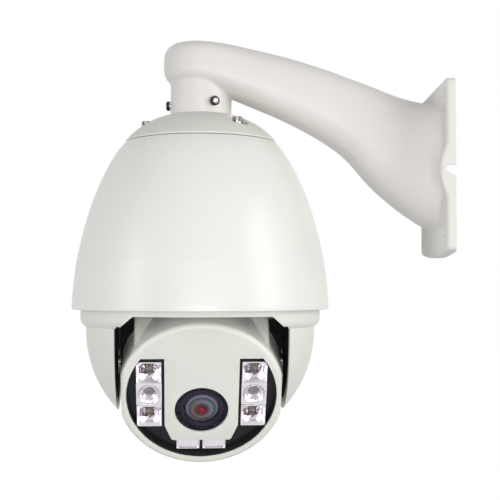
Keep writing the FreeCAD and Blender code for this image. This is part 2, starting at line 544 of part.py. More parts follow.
def power_board():
    board = tube(BOARD_R, BOARD_HOLE, BOARD_THICK, V(0, 0, BOARD_Z))
    board = board.cut([rod(M3 / 2, THROUGH, around(t, BOARD_POST_R, BOARD_Z - 2)) for t in BOARD_POST_ANGLES])
    top = BOARD_Z + BOARD_THICK
    parts = [rod(CAPACITOR_R, CAPACITOR_H, around(angle, radius, top)) for angle, radius in CAPACITORS]
    for angle, size in BLOCKS:
        at = around(angle, BLOCK_PLACE_R, top)
        parts.append(Part.makeBox(size[0], size[1], size[2], at - V(size[0] / 2, size[1] / 2, 0)))
    half = TERMINALS * TERMINAL_PITCH / 2
    block = Part.makeBox(2 * half, TERMINAL_DEPTH, TERMINAL_H, V(-half, TERMINAL_Y, top))
    middle = TERMINAL_Y + TERMINAL_DEPTH / 2
    places = [V(-half + TERMINAL_PITCH * (i + 0.5), middle, top + TERMINAL_H - 4) for i in range(TERMINALS)]
    return board, parts + [block.cut([rod(M3 / 2 + 0.1, 5, at) for at in places])]


def fan():
    half, low = FAN_SIZE / 2, BOARD_Z - FAN_H
    frame = box(FAN_X - half, FAN_X + half, -half, half, low, BOARD_Z)
    centre = V(FAN_X, 0, low)
    frame = frame.cut(rod(FAN_BORE, FAN_H - 1.5, centre))
    spokes = [box(FAN_X - half, FAN_X + half, -1.5, 1.5, low, BOARD_Z),
              box(FAN_X - 1.5, FAN_X + 1.5, -half, half, low, BOARD_Z)]
    frame = frame.cut(tube(FAN_BORE, FAN_HUB + 2, 3, V(FAN_X, 0, BOARD_Z - 2)).cut(spokes))
    frame = frame.fuse(rod(FAN_AXLE_R, FAN_H * 0.4, V(FAN_X, 0, BOARD_Z - FAN_H * 0.5)))
    hub = rod(FAN_HUB, 6.5, V(0, 0, 1))
    blades = []
    for i in range(FAN_BLADES):
        blade = box(FAN_HUB - 1, FAN_BORE - 1, -0.6, 0.6, 1.3, 7.2)
        blade.rotate(V(FAN_HUB, 0, 4), X_AXIS, 35)
        blade.rotate(ORIGIN, Z_AXIS, 360.0 * i / FAN_BLADES)
        blades.append(blade)
    rotor = fuse([hub] + blades).cut(rod(FAN_AXLE_R + RUN, 5, V(0, 0, 4.5)))
    return frame, moved(rotor, centre)


def heater():
    length, width, height = HEATER_SIZE
    low, first = BOARD_Z - height, -width / 2 + HEATER_PITCH * 0.75
    body = box(HEATER_X, HEATER_X + length, -width / 2, width / 2, low, BOARD_Z)
    slots = []
    for i in range(HEATER_FINS):
        y = first + HEATER_PITCH * i
        slots.append(box(HEATER_X - 1, HEATER_X + length + 1, y, y + HEATER_PITCH / 2, low - 1, BOARD_Z - 3))
    return body.cut(slots)


# ---- Rotating yoke ----
def belt_slot():
    half = TILT_PULLEY_R
    return box(FRAME_OUT, YOKE_R + 5, -half, half, YOKE_TOP - THROUGH, YOKE_TOP + THROUGH)


def frame_screw_places(z):
    middle = FRAME_X + FRAME_THICK / 2
    return [V(sx * middle, sy * FRAME_SCREW_Y, z) for sx in (-1, 1) for sy in (-1, 1)]


def yoke_plate():
    plate = rod(YOKE_R, YOKE_THICK, V(0, 0, YOKE_TOP - YOKE_THICK))
    cuts = [belt_slot(), rod(SLIP_RING_STUB_R, THROUGH, V(0, 0, YOKE_TOP - 10))]
    cuts += [rod(M3 / 2, THROUGH, at) for at in frame_screw_places(YOKE_TOP - 10)]
    return plate.cut(cuts)


def pan_shaft():
    foot = V(0, 0, YOKE_TOP)
    return fuse([tube(SHAFT_R, SHAFT_BORE, SHAFT_TOP - YOKE_TOP, foot),
                 tube(SHAFT_FOOT_R, SHAFT_BORE, SHAFT_FOOT_H, foot)])


def window_cut():
    """The wedge-ended gap in the front of the collar's lower edge."""
    low = COLLAR_BOTTOM - 1
    slope = (WINDOW_FOOT_HALF - WINDOW_HALF) / (WINDOW_TOP - COLLAR_BOTTOM)
    foot = WINDOW_FOOT_HALF + slope
    top = WINDOW_TOP
    points = [V(-WINDOW_HALF, 0, top), V(WINDOW_HALF, 0, top), V(foot, 0, low), V(-foot, 0, low)]
    return moved(polygon(points).extrude(V(0, FAR, 0)), V(0, -FAR, 0))


def pan_collar():
    inner = COLLAR_R - COLLAR_WALL
    lip_inner = COLLAR_LIP_R - COLLAR_WALL
    round_mid = V((COLLAR_R + COLLAR_LIP_R) / 2 + 1.2, 0, (COLLAR_EDGE + COLLAR_BOTTOM) / 2 - 0.6)
    a, b = V(COLLAR_R, 0, COLLAR_TOP), V(COLLAR_R, 0, COLLAR_EDGE)
    c, d = V(COLLAR_LIP_R, 0, COLLAR_BOTTOM), V(lip_inner, 0, COLLAR_BOTTOM)
    e, f = V(inner, 0, COLLAR_EDGE), V(inner, 0, COLLAR_TOP)
    corner = Part.Arc(b, round_mid, c).toShape()
    ring = spun([line(a, b), corner, line(c, d), line(d, e), line(e, f), line(f, a)])
    floor = rod(inner + 1, COLLAR_FLOOR, V(0, 0, COLLAR_TOP - COLLAR_FLOOR))
    floor = floor.cut(box(-WELL_X, WELL_X, -WELL_Y, WELL_Y, COLLAR_TOP - 10, COLLAR_TOP + 1))
    body = fuse([ring, floor])
    cuts = [window_cut()]
    rooms = [(WELL_X - 1, FRAME_OUT + EAR_FRAME_GAP, FRAME_HALF_Y + SLIP),
             (FRAME_X, TILT_PULLEY_X + TILT_PULLEY_H + 3, TILT_PULLEY_R)]
    for s in (-1, 1):
        for near, far, half in rooms:
            x0, x1 = sorted((s * near, s * far))
            cuts.append(box(x0, x1, -half, half, COLLAR_TOP - 10, COLLAR_TOP + 1))
    return body.cut(cuts)


def frame_disc_r():
    """The round lower end of a side frame, which just fits inside the ear's shell."""
    return math.sqrt((EAR_R - EAR_WALL) ** 2 - FRAME_OUT ** 2) - SLIP


def side_frame(s):
    """The flat plate that carries one end of the tilt axis, from the yoke down into the ear."""
    x0 = FRAME_X if s > 0 else -FRAME_OUT
    upper = box(x0, x0 + FRAME_THICK, -FRAME_HALF_Y, FRAME_HALF_Y, EAR_Z, YOKE_TOP - YOKE_THICK)
    lower = rod(frame_disc_r(), FRAME_THICK, V(x0, 0, EAR_Z), X_AXIS)
    lower = lower.common(box(x0, x0 + FRAME_THICK, -FAR, FAR, EAR_Z - FAR, COLLAR_BOTTOM - THROAT_LAP))
    body = fuse([upper, lower])
    cuts = [rod(TILT_BEARING_R, THROUGH, V(x0 - 5, 0, TILT_Z), X_AXIS)]
    thread_z = YOKE_TOP - YOKE_THICK - FRAME_SCREW_LENGTH
    cuts += [rod(M3 / 2, THROUGH, at) for at in frame_screw_places(thread_z)]
    return body.cut(cuts)


def ear(s):
    """The outer shell of one arm: a slice of a hollow ball, open to the side frame and at the top."""
    inner_x = FRAME_X
    keep = box(inner_x, FAR, -FAR, FAR, EAR_Z - FAR, COLLAR_BOTTOM)
    ball = Part.makeSphere(EAR_R, V(0, 0, EAR_Z))
    hollow = Part.makeSphere(EAR_R - EAR_WALL, V(0, 0, EAR_Z))
    neck_r, foot = COLLAR_LIP_R - COLLAR_WALL - THROAT_SLIP, COLLAR_BOTTOM - THROAT_LAP
    throat = tube(neck_r, neck_r - EAR_WALL, COLLAR_TOP - COLLAR_FLOOR - foot, V(0, 0, foot))
    throat = throat.common(box(inner_x, FAR, -FAR, FAR, EAR_Z - FAR, 0))
    shell = ball.cut(hollow).common(keep)
    body = fuse([shell, throat])
    inner_wall = box(inner_x, inner_x + EAR_WALL, -FAR, FAR, EAR_Z - FAR, 0)
    rim = Part.makeSphere(EAR_R - 1, V(0, 0, EAR_Z)).common(keep).common(inner_wall)
    rim = rim.cut(rod(frame_disc_r(), THROUGH, V(inner_x - 5, 0, EAR_Z), X_AXIS))
    body = fuse([body, rim])
    return body if s > 0 else body.mirror(ORIGIN, X_AXIS)


def yoke_screws():
    screw = socket_screw(M3, M3_HEAD, M3_HEAD_H, FRAME_SCREW_LENGTH)
    return [moved(screw, at) for at in frame_screw_places(YOKE_TOP)]


def pan_drive():
    half, face = MOTOR_SIZE / 2, YOKE_TOP + MOTOR_H
    centre = V(0, PAN_MOTOR_Y, 0)
    motor = box(-half, half, PAN_MOTOR_Y - half, PAN_MOTOR_Y + half, YOKE_TOP, face)
    motor = motor.makeFillet(MOTOR_CORNER, [e for e in motor.Edges if abs(e.Length - MOTOR_H) < 1e-6])
    at = MOTOR_SCREW_AT
    holes = [centre + V(sx * at, sy * at, face - 5) for sx in (-1, 1) for sy in (-1, 1)]
    motor = motor.cut([rod(M3 / 2 + 0.1, 6, hole) for hole in holes])
    motor = fuse([motor, rod(MOTOR_BOSS_R, 1.0, centre + V(0, 0, face)),
                  rod(MOTOR_SHAFT_R, PULLEY_TOP - face, centre + V(0, 0, face))])
    low = PULLEY_TOP - PULLEY_H
    pulley = toothed_pulley(MOTOR_PULLEY_R, PULLEY_H, MOTOR_SHAFT_R + RUN, MOTOR_TEETH)
    pulley = moved(pulley, centre + V(0, 0, low))
    belt = belt_loop(PULLEY_R, MOTOR_PULLEY_R, PAN_MOTOR_Y, PULLEY_H - 2 * BELT_INSET)
    belt = moved(belt, V(0, 0, low + BELT_INSET))
    return motor, pulley, belt


def on_tilt_side(shape):
    """Turns a belt drive drawn on +Z, pulleys apart along +Y, to run up the +X arm."""
    shape = shape.copy()
    shape.rotate(ORIGIN, X_AXIS, 90)
    shape.rotate(ORIGIN, Z_AXIS, 90)
    return moved(shape, V(TILT_PULLEY_X, 0, TILT_Z))


def tilt_drive():
    half, x1 = MOTOR_SIZE / 2, TILT_MOTOR_X + TILT_MOTOR_LENGTH
    motor = box(TILT_MOTOR_X, x1, -half, half, TILT_MOTOR_Z - half, TILT_MOTOR_Z + half)
    long_edges = [e for e in motor.Edges if abs(e.Length - TILT_MOTOR_LENGTH) < 1e-6]
    motor = motor.makeFillet(MOTOR_CORNER, long_edges)
    feet = box(TILT_MOTOR_X, x1, -half, half, YOKE_TOP, TILT_MOTOR_Z - half + MOTOR_CORNER)
    end = V(x1, 0, TILT_MOTOR_Z)
    stub = TILT_PULLEY_X + TILT_PULLEY_H - x1
    motor = fuse([motor, feet, rod(MOTOR_BOSS_R, 1.0, end, X_AXIS), rod(MOTOR_SHAFT_R, stub, end, X_AXIS)])
    rise = TILT_MOTOR_Z - TILT_Z
    small = toothed_pulley(MOTOR_PULLEY_R, TILT_PULLEY_H, MOTOR_SHAFT_R + RUN, MOTOR_TEETH)
    small = on_tilt_side(moved(small, V(0, rise, 0)))
    belt = belt_loop(TILT_PULLEY_R, MOTOR_PULLEY_R, rise, TILT_PULLEY_H - 2 * BELT_INSET)
    belt = on_tilt_side(moved(belt, V(0, 0, BELT_INSET)))
    return motor, small, belt


def tilt_bearings():
    rings = []
    for x0 in (FRAME_X, -FRAME_OUT):
        rings.append(tube(TILT_BEARING_R, TILT_SHAFT_R + RUN, FRAME_THICK, V(x0, 0, TILT_Z), X_AXIS))
    return rings


def control_board():
    low = YOKE_TOP + CONTROL_STAND_H
    top = low + BOARD_THICK
    board = box(-CONTROL_HALF_X, CONTROL_HALF_X, CONTROL_Y0, CONTROL_Y1, low, top)
    corners = [(s * (CONTROL_HALF_X - 4), y) for s in (-1, 1) for y in (CONTROL_Y0 + 4, CONTROL_Y1 - 4)]
    stands = [rod(2.5, CONTROL_STAND_H, V(x, y, YOKE_TOP)) for x, y in corners]
    chips = [box(-20, -6, -60, -46, top, top + 1.6), box(6, 16, -58, -48, top, top + 1.6)]
    sockets = [box(24, 40, -66, -58, top, top + 6), box(-40, -28, -66, -60, top, top + 6)]
    return fuse([board] + stands + chips + sockets)


# ---- Tilting head ----
def face_windows():
    """The parts of the face that are open: all inside the rim below the brow, round the lens plate."""
    y0, y1 = FACE_Y - 5, FACE_Y + FACE_THICK + 4
    opening = rod(RIM_INNER_R, y1 - y0, V(0, y0, 0), Y_AXIS)
    brow = box(-DRUM_R, DRUM_R, y0, y1, RECESS_TOP_V, DRUM_R)
    corners = [(PLATE_HALF_U, DRUM_R), (PLATE_HALF_U, PLATE_NECK_V), (PLATE_NECK_U, PLATE_FOOT_V)]
    corners += [(-u, v) for u, v in reversed(corners)]
    plate = polygon([V(u, y0, v) for u, v in corners]).extrude(V(0, y1 - y0, 0))
    low_corners = [e for e in plate.Edges if abs(e.Length - (y1 - y0)) < 1e-6 and e.CenterOfMass.z < 0]
    return opening.cut([brow, plate.makeFillet(PLATE_CORNER_R, low_corners)])


def head_body(inset, y0, y1):
    """The head's flat-sided, round-backed body between two depths, its skin moved in by the inset."""
    half = REAR_HALF_X - inset
    body = rod(REAR_R - inset, 2 * half, V(-half, REAR_Y, 0), X_AXIS)
    corner = REAR_CORNER - inset * 0.75
    body = body.makeFillet(corner, [e for e in body.Edges if isinstance(e.Curve, Part.Circle)])
    return body.common(box(-FAR, FAR, y0, y1, -FAR, FAR))


def drum(inset, y0, length):
    """A length of the head's round drum with its two flattened sides, its skin moved in by the inset."""
    half = DRUM_HALF_X - inset
    sides = box(-half, half, y0, y0 + length, -FAR, FAR)
    return rod(DRUM_R - inset, length, V(0, y0, 0), Y_AXIS).common(sides)


def flat_sides():
    """What the drum's face is kept within: two flat sides whose front edges are rounded like the rim."""
    slab = box(-DRUM_HALF_X, DRUM_HALF_X, FACE_Y, DRUM_BACK, -FAR, FAR)
    edges = [e for e in slab.Edges if abs(e.CenterOfMass.y - FACE_Y) < 1e-6 and abs(e.CenterOfMass.x) > 1]
    return slab.makeFillet(RIM_R, edges)


def front_shell():
    """The round rim, brow and lens plate in front, widened behind into the body's square shoulders."""
    r = RIM_R
    k = r * (1 - math.sqrt(0.5))
    a, b = V(0, FACE_Y, 0), V(DRUM_R - r, FACE_Y, 0)
    c, d = V(DRUM_R, FACE_Y + r, 0), V(DRUM_R, DRUM_BACK, 0)
    e = V(0, DRUM_BACK, 0)
    corner = Part.Arc(b, V(DRUM_R - k, FACE_Y + k, 0), c).toShape()
    solid = spun([line(a, b), corner, line(c, d), line(d, e), line(e, a)], Y_AXIS).common(flat_sides())
    hollow = drum(SHELL_WALL, FACE_Y + FACE_THICK + RIM_R / 2, FAR)
    hollow = hollow.fuse(rod(RIM_INNER_R, FAR, V(0, FACE_Y + FACE_THICK, 0), Y_AXIS))
    shoulders = head_body(0, FACE_Y + FACE_THICK, DRUM_BACK)
    room = head_body(SHELL_WALL, FACE_Y + FACE_THICK, DRUM_BACK - REAR_FLANGE)
    shell = solid.fuse(shoulders).cut([hollow, room])
    shell = shell.cut([face_windows(), rod(WINDOW_RING_R, THROUGH, V(0, FACE_Y - 5, LENS_Z), Y_AXIS)])
    y0 = DRUM_BACK - HEAD_POST_LENGTH
    posts, holes = [], []
    for x, z in screw_places():
        posts.append(rod(HEAD_POST_R, HEAD_POST_LENGTH, V(x, y0, z), Y_AXIS))
        near, far = sorted((z, z * 1.3))
        posts.append(box(x - 2, x + 2, y0, DRUM_BACK, near, far))
        holes.append(rod(M3 / 2, HEAD_POST_LENGTH - 2, V(x, y0 + 2, z), Y_AXIS))
    posts = fuse(posts).common(drum(0, FACE_Y, FAR))
    return fuse([shell, posts]).cut(holes)


def screw_places():
    return [(sx * HEAD_SCREW_X, sz * HEAD_SCREW_Z) for sx in (-1, 1) for sz in (-1, 1)]


def rear_shell():
    """Flat-sided, round-backed rear half, with a round flange that meets the front shell."""
    seam = DRUM_BACK + SEAM_GAP
    behind = seam + REAR_FLANGE
    back = head_body(0, seam, FAR)
    mouth = head_body(SHELL_WALL, seam, behind).common(drum(SHELL_WALL, seam, REAR_FLANGE))
    flange = drum(0, seam, REAR_FLANGE)
    length = HUB_BOSS_X - HUB_BOSS_ROOT
    hubs = [rod(HUB_BOSS_R, length, V(x0, 0, 0), X_AXIS) for x0 in (HUB_BOSS_ROOT, -HUB_BOSS_X)]
    tunnel_r = M3_HEAD / 2 + 0.5 + TUNNEL_WALL
    tunnels = [rod(tunnel_r, FAR, V(x, seam, z), Y_AXIS).common(back) for x, z in screw_places()]
    body = fuse([back, flange]).cut([head_body(SHELL_WALL, behind, FAR), mouth])
    body = fuse([body] + hubs + tunnels)
    cuts = [rod(TILT_SHAFT_R, FAR, V(-FAR / 2, 0, 0), X_AXIS)]
    for x, z in screw_places():
        cuts.append(rod(M3 / 2 + SLIP, THROUGH, V(x, DRUM_BACK - 5, z), Y_AXIS))
        cuts.append(rod(M3_HEAD / 2 + 0.5, FAR, V(x, seam + REAR_FLANGE, z), Y_AXIS))
    return body.cut(cuts)


def hub_cover(s):
    """A hollow dark cover round the hub, between the head's flat side and the ear."""
    y0 = DRUM_BACK + SEAM_GAP + REAR_FLANGE + SLIP
    x0, depth = REAR_HALF_X + SLIP, HUB_COVER_X - REAR_HALF_X - SLIP
    w = HUB_COVER_WALL
    outer = rod(HUB_COVER_R, depth, V(x0, 0, 0), X_AXIS).common(box(0, FAR, y0, FAR, -FAR, FAR))
    room = rod(HUB_COVER_R - w, depth - w, V(x0, 0, 0), X_AXIS).common(box(0, FAR, y0 + w, FAR, -FAR, FAR))
    cover = outer.cut([room, rod(HUB_BOSS_R + SLIP, FAR, ORIGIN, X_AXIS)])
    return cover if s > 0 else cover.mirror(ORIGIN, X_AXIS)


def head_seal():
    return drum(SEAL_INSET, DRUM_BACK, SEAM_GAP).cut(drum(SHELL_WALL, DRUM_BACK - 1, SEAM_GAP + 2))


def head_screws():
    screws = []
    for x, z in screw_places():
        screw = socket_screw(M3, M3_HEAD, M3_HEAD_H, REAR_FLANGE + SEAM_GAP + 10)
        screw.rotate(ORIGIN, X_AXIS, -90)
        screws.append(moved(screw, V(x, DRUM_BACK + SEAM_GAP + REAR_FLANGE, z)))
    return screws


def lamp_places():
    return [(s * LAMP_U, LAMP_MID_V + row * LAMP_PITCH, row) for s in (-1, 1) for row in (-1, 0, 1)]


def square_at(u, v, size, y0, y1):
    h = size / 2
    return box(u - h, u + h, y0, y1, v - h, v + h)


def lamp_panel():
    """The dark panel behind the lamps, with a lip that lines the rim."""
    lip_r = RIM_INNER_R - SLIP
    lip = tube(lip_r, lip_r - PANEL_LIP, PANEL_Y - PANEL_LIP_Y + 1, V(0, PANEL_LIP_Y, 0), Y_AXIS)
    brow = box(-FAR, FAR, PANEL_LIP_Y - 1, PANEL_Y - SLIP, RECESS_TOP_V - SLIP, FAR)
    panel = drum(SHELL_WALL + SLIP, PANEL_Y, PANEL_THICK).fuse(lip.cut(brow))
    y0, y1 = PANEL_LIP_Y - 1, PANEL_Y + 8
    size, lower_size = LAMP_SIZE + 2 * SLIP, LOWER_LAMP_SIZE + 2 * SLIP
    cuts = [rod(WINDOW_RING_R + SLIP, THROUGH, V(0, y0, LENS_Z), Y_AXIS)]
    cuts += [square_at(u, v, size, y0, y1) for u, v, row in lamp_places()]
    cuts += [square_at(s * LOWER_LAMP_U, LOWER_LAMP_V, lower_size, y0, y1) for s in (-1, 1)]
    return panel.cut(cuts)


def square_wire(u, v, half, y):
    corners = [V(u + a * half, y, v + b * half) for a, b in ((-1, -1), (1, -1), (1, 1), (-1, 1), (-1, -1))]
    return Part.makePolygon(corners)


def faceted_lamp(u, v, front):
    """A square lamp cup with a stepped, mirror-bright funnel down to the emitter."""
    back = LAMP_BOARD_Y
    cup = square_at(u, v, LAMP_SIZE, front, back)
    n = EMITTER / 2 + EMITTER_ROOM
    deep = back - EMITTER_H - 0.1
    mouth, foot = square_wire(u, v, LAMP_MOUTH_HALF, front), square_wire(u, v, n, deep)
    funnel = Part.makeLoft([mouth, foot], True, True)
    well = box(u - n, u + n, deep - 0.01, back + 1, v - n, v + n)
    return cup.cut([funnel, well])


def round_lamp(u, v, front, size=LAMP_SIZE):
    """A square lamp body with a domed round lens in its middle."""
    body = square_at(u, v, size, front + LAMP_DOME_RISE, LAMP_BOARD_Y)
    n = EMITTER / 2 + EMITTER_ROOM
    dome = Part.makeSphere(LAMP_DOME_R, V(u, front + LAMP_DOME_R, v))
    dome = dome.common(square_at(u, v, size, front, front + 6))
    return fuse([body, dome]).cut(box(u - n, u + n, LAMP_BOARD_Y - 3, LAMP_BOARD_Y + 1, v - n, v + n))


def lamps():
    inside_rim = rod(RIM_INNER_R - PANEL_LIP - 2 * SLIP, FAR, V(0, FACE_Y, 0), Y_AXIS)
    faceted = [faceted_lamp(u, v, LAMP_FRONT).common(inside_rim) for u, v, row in lamp_places() if row != 0]
    rounds = [round_lamp(u, v, LAMP_FRONT) for u, v, row in lamp_places() if row == 0]
    lower_at = (LOWER_LAMP_V, LOWER_LAMP_FRONT, LOWER_LAMP_SIZE)
    lower = [round_lamp(s * LOWER_LAMP_U, *lower_at) for s in (-1, 1)]
    spots = [(u, v) for u, v, row in lamp_places()] + [(s * LOWER_LAMP_U, LOWER_LAMP_V) for s in (-1, 1)]
    emitters = [square_at(u, v, EMITTER, LAMP_BOARD_Y - EMITTER_H, LAMP_BOARD_Y) for u, v in spots]
    return faceted, rounds, lower, emitters


def lamp_board():
    y0 = LAMP_BOARD_Y - 5
    board = rod(LAMP_BOARD_R, BOARD_THICK, V(0, LAMP_BOARD_Y, 0), Y_AXIS)
    holes = [rod(HEAD_POST_R + 1.5, THROUGH, V(x, y0, z), Y_AXIS) for x, z in screw_places()]
    return board.cut(holes + [rod(BARREL_R + 2, THROUGH, V(0, y0, LENS_Z), Y_AXIS)])


def window():
    front = FACE_Y + WINDOW_INSET
    ring = tube(WINDOW_RING_R, WINDOW_R, WINDOW_RING_DEPTH, V(0, front, LENS_Z), Y_AXIS)
    glass = rod(WINDOW_R, GLASS_THICK, V(0, front + SLIP, LENS_Z), Y_AXIS)
    return ring, glass


def along_barrel(shape_r, y0, length):
    return rod(shape_r, length, V(0, y0, LENS_Z), Y_AXIS)


def camera_block():
    """The closed case behind the lens, open only where the barrel meets it."""
    half, w = CAMERA_HALF, CAMERA_WALL
    room = half - w
    block = box(-half, half, BARREL_BACK, CAMERA_BACK, LENS_Z - half, LENS_Z + half)
    inside = box(-room, room, BARREL_BACK + w, CAMERA_BACK - w, LENS_Z - room, LENS_Z + room)
    return block.cut([inside, along_barrel(BARREL_BORE, BARREL_BACK, w)])


def zoom_camera():
    y0, lens_r = BARREL_FRONT, BARREL_BORE - LENS_SLIP
    cap_h = LENS_BALL_R - math.sqrt(LENS_BALL_R ** 2 - lens_r ** 2)
    lens = Part.makeSphere(LENS_BALL_R, V(0, y0 + 1 + LENS_BALL_R, LENS_Z))
    lens = lens.common(along_barrel(lens_r, y0 + 1, cap_h + LENS_EDGE))
    seat_y = y0 + 1 + cap_h + LENS_EDGE
    seat = along_barrel(BARREL_BORE, seat_y, LENS_EDGE)
    seat = seat.cut(along_barrel(BARREL_BORE - 2.5, seat_y, LENS_EDGE))
    end_y = BARREL_BACK - LENS_EDGE
    end = along_barrel(BARREL_BORE, end_y, LENS_EDGE).cut(along_barrel(ROD_PITCH_R - 2.2, end_y, LENS_EDGE))
    barrel = tube(BARREL_R, BARREL_BORE, BARREL_BACK - y0, V(0, y0, LENS_Z), Y_AXIS)
    rods = []
    for s in (-1, 1):
        at = V(s * ROD_PITCH_R, seat_y + LENS_EDGE, LENS_Z)
        rods.append(rod(ROD_R, BARREL_BACK - at.y, at, Y_AXIS))
    return fuse([barrel, seat, end]).cut(rods), camera_block(), lens, rods


def sensor_board():
    """The board with the image sensor, on pegs from the case's back wall."""
    y0, y1, half = SENSOR_Y, SENSOR_Y + BOARD_THICK, SENSOR_HALF
    board = box(-half, half, y0, y1, LENS_Z - half, LENS_Z + half)
    chip = box(-5, 5, y0 - 1.5, y0, LENS_Z - 4, LENS_Z + 4)
    at, length = SENSOR_PEG_AT, CAMERA_BACK - CAMERA_WALL - y1
    places = [V(sx * at, y1, LENS_Z + sz * at) for sx in (-1, 1) for sz in (-1, 1)]
    return fuse([board, chip] + [rod(2, length, place, Y_AXIS) for place in places])


def carriage(y0, glass_r):
    """A lens carriage that slides on the two guide rods: a frame and its pressed-in glass."""
    at = V(0, y0, LENS_Z)
    frame = tube(CARRIAGE_R, glass_r, CARRIAGE_H, at, Y_AXIS)
    rods = [V(s * ROD_PITCH_R, y0, LENS_Z) for s in (-1, 1)]
    frame = frame.cut([rod(ROD_R + 2 * RUN, CARRIAGE_H, place, Y_AXIS) for place in rods])
    glass = rod(glass_r, CARRIAGE_H - 1, V(0, y0 + 0.5, LENS_Z), Y_AXIS)
    return [frame, glass]


def tilt_shafts():
    """A hollow shaft each side, its flange inside the rear shell's boss; the +X one carries the pulley."""
    shafts = []
    root, flange_out = HUB_BOSS_ROOT - 1.0, HUB_BOSS_ROOT - 0.1
    for s, x1 in ((-1, FRAME_OUT + 3), (1, TILT_PULLEY_X + TILT_PULLEY_H + 1)):
        shaft = tube(TILT_SHAFT_R, TILT_SHAFT_BORE, x1 - root, V(min(s * root, s * x1), 0, 0), X_AXIS)
        flange_x = min(s * flange_out, s * (flange_out - SHAFT_FLANGE_H))
        flange = tube(HUB_BOSS_R, TILT_SHAFT_BORE, SHAFT_FLANGE_H, V(flange_x, 0, 0), X_AXIS)
        shafts.append(fuse([shaft, flange]))
    return shafts


def tilt_pulley():
    pulley = toothed_pulley(TILT_PULLEY_R, TILT_PULLEY_H, TILT_SHAFT_R, TILT_TEETH)
    pulley.rotate(ORIGIN, Y_AXIS, 90)
    return moved(pulley, V(TILT_PULLEY_X, 0, 0))


# ---- Build ----
def build_bracket():
    save("wall_plate", wall_plate())
    save("gooseneck_arm", gooseneck_arm())
    save("neck_screws", neck_screws())
    save("earth_screw", earth_screw())
    save("top_cap", top_cap())
    screws, washers = cap_fasteners()
    save("cap_screws", screws)
    save("cap_washers", washers)
    save("cap_seal", cap_seal())
    save("bell_housing", bell_housing())


def build_chassis():
    plate, posts, screws = chassis()
    outer, inner, balls = bearings()
    body, rotor = slip_ring()
    board, parts = power_board()
    frame, fan_rotor = fan()
    fixed = {
        "chassis_plate": plate, "chassis_posts": posts, "chassis_screws": screws,
        "bearing_housing": bearing_housing(), "bearing_outer_rings": outer + balls,
        "fixed_pulley": fixed_pulley(), "slip_ring_body": body, "power_board": board,
        "board_parts": parts, "fan_frame": frame, "fan_rotor": fan_rotor, "heater": heater(),
    }
    for node, shapes in fixed.items():
        save(node, each(shapes, in_dome))
    save("bearing_inner_rings", each(inner, in_pan))
    save("slip_ring_rotor", in_pan(rotor))


def build_yoke():
    pan_motor, pan_pulley, pan_belt = pan_drive()
    tilt_motor, tilt_small, tilt_belt = tilt_drive()
    turning = {
        "yoke_plate": yoke_plate(), "pan_shaft": pan_shaft(), "pan_collar": pan_collar(),
        "side_frames": [side_frame(-1), side_frame(1)],
        "left_ear": ear(-1), "right_ear": ear(1), "yoke_screws": yoke_screws(),
        "pan_motor": pan_motor, "pan_motor_pulley": pan_pulley, "pan_belt": pan_belt,
        "tilt_motor": tilt_motor, "tilt_motor_pulley": tilt_small, "tilt_belt": tilt_belt,
        "tilt_bearings": tilt_bearings(), "control_board": control_board(),
    }
    for node, shapes in turning.items():
        save(node, each(shapes, in_pan))


def build_head():
    faceted, rounds, lower, emitters = lamps()
    ring, glass = window()
    barrel, block, lens, rods = zoom_camera()
    tilting = {
        "front_shell": front_shell(), "rear_shell": rear_shell(), "hub_covers": [hub_cover(-1), hub_cover(1)],
        "head_seal": head_seal(), "head_screws": head_screws(),
        "lamp_panel": lamp_panel(), "lamp_board": lamp_board(),
        "faceted_lamps": faceted, "round_lamps": rounds, "lower_lamps": lower, "lamp_emitters": emitters,
        "window_ring": ring, "window_glass": glass, "lens_barrel": barrel, "camera_block": block,
        "front_lens": lens, "guide_rods": rods, "sensor_board": sensor_board(),
        "zoom_carriage": carriage(ZOOM_Y, ZOOM_GLASS_R), "focus_carriage": carriage(FOCUS_Y, FOCUS_GLASS_R),
        "tilt_shafts": tilt_shafts(), "tilt_pulley": tilt_pulley(),
    }
    for node, shapes in tilting.items():
        save(node, each(shapes, in_head))


def main():
    os.makedirs("parts", exist_ok=True)
    build_bracket()
    build_chassis()
    build_yoke()
    build_head()


main()
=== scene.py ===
"""A dome camera on a gooseneck wall arm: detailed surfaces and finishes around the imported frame."""

import json
import logging
import math
from dataclasses import dataclass, field
from enum import Enum
from typing import Callable, Sequence

import bmesh
import bpy
from mathutils import Matrix, Vector

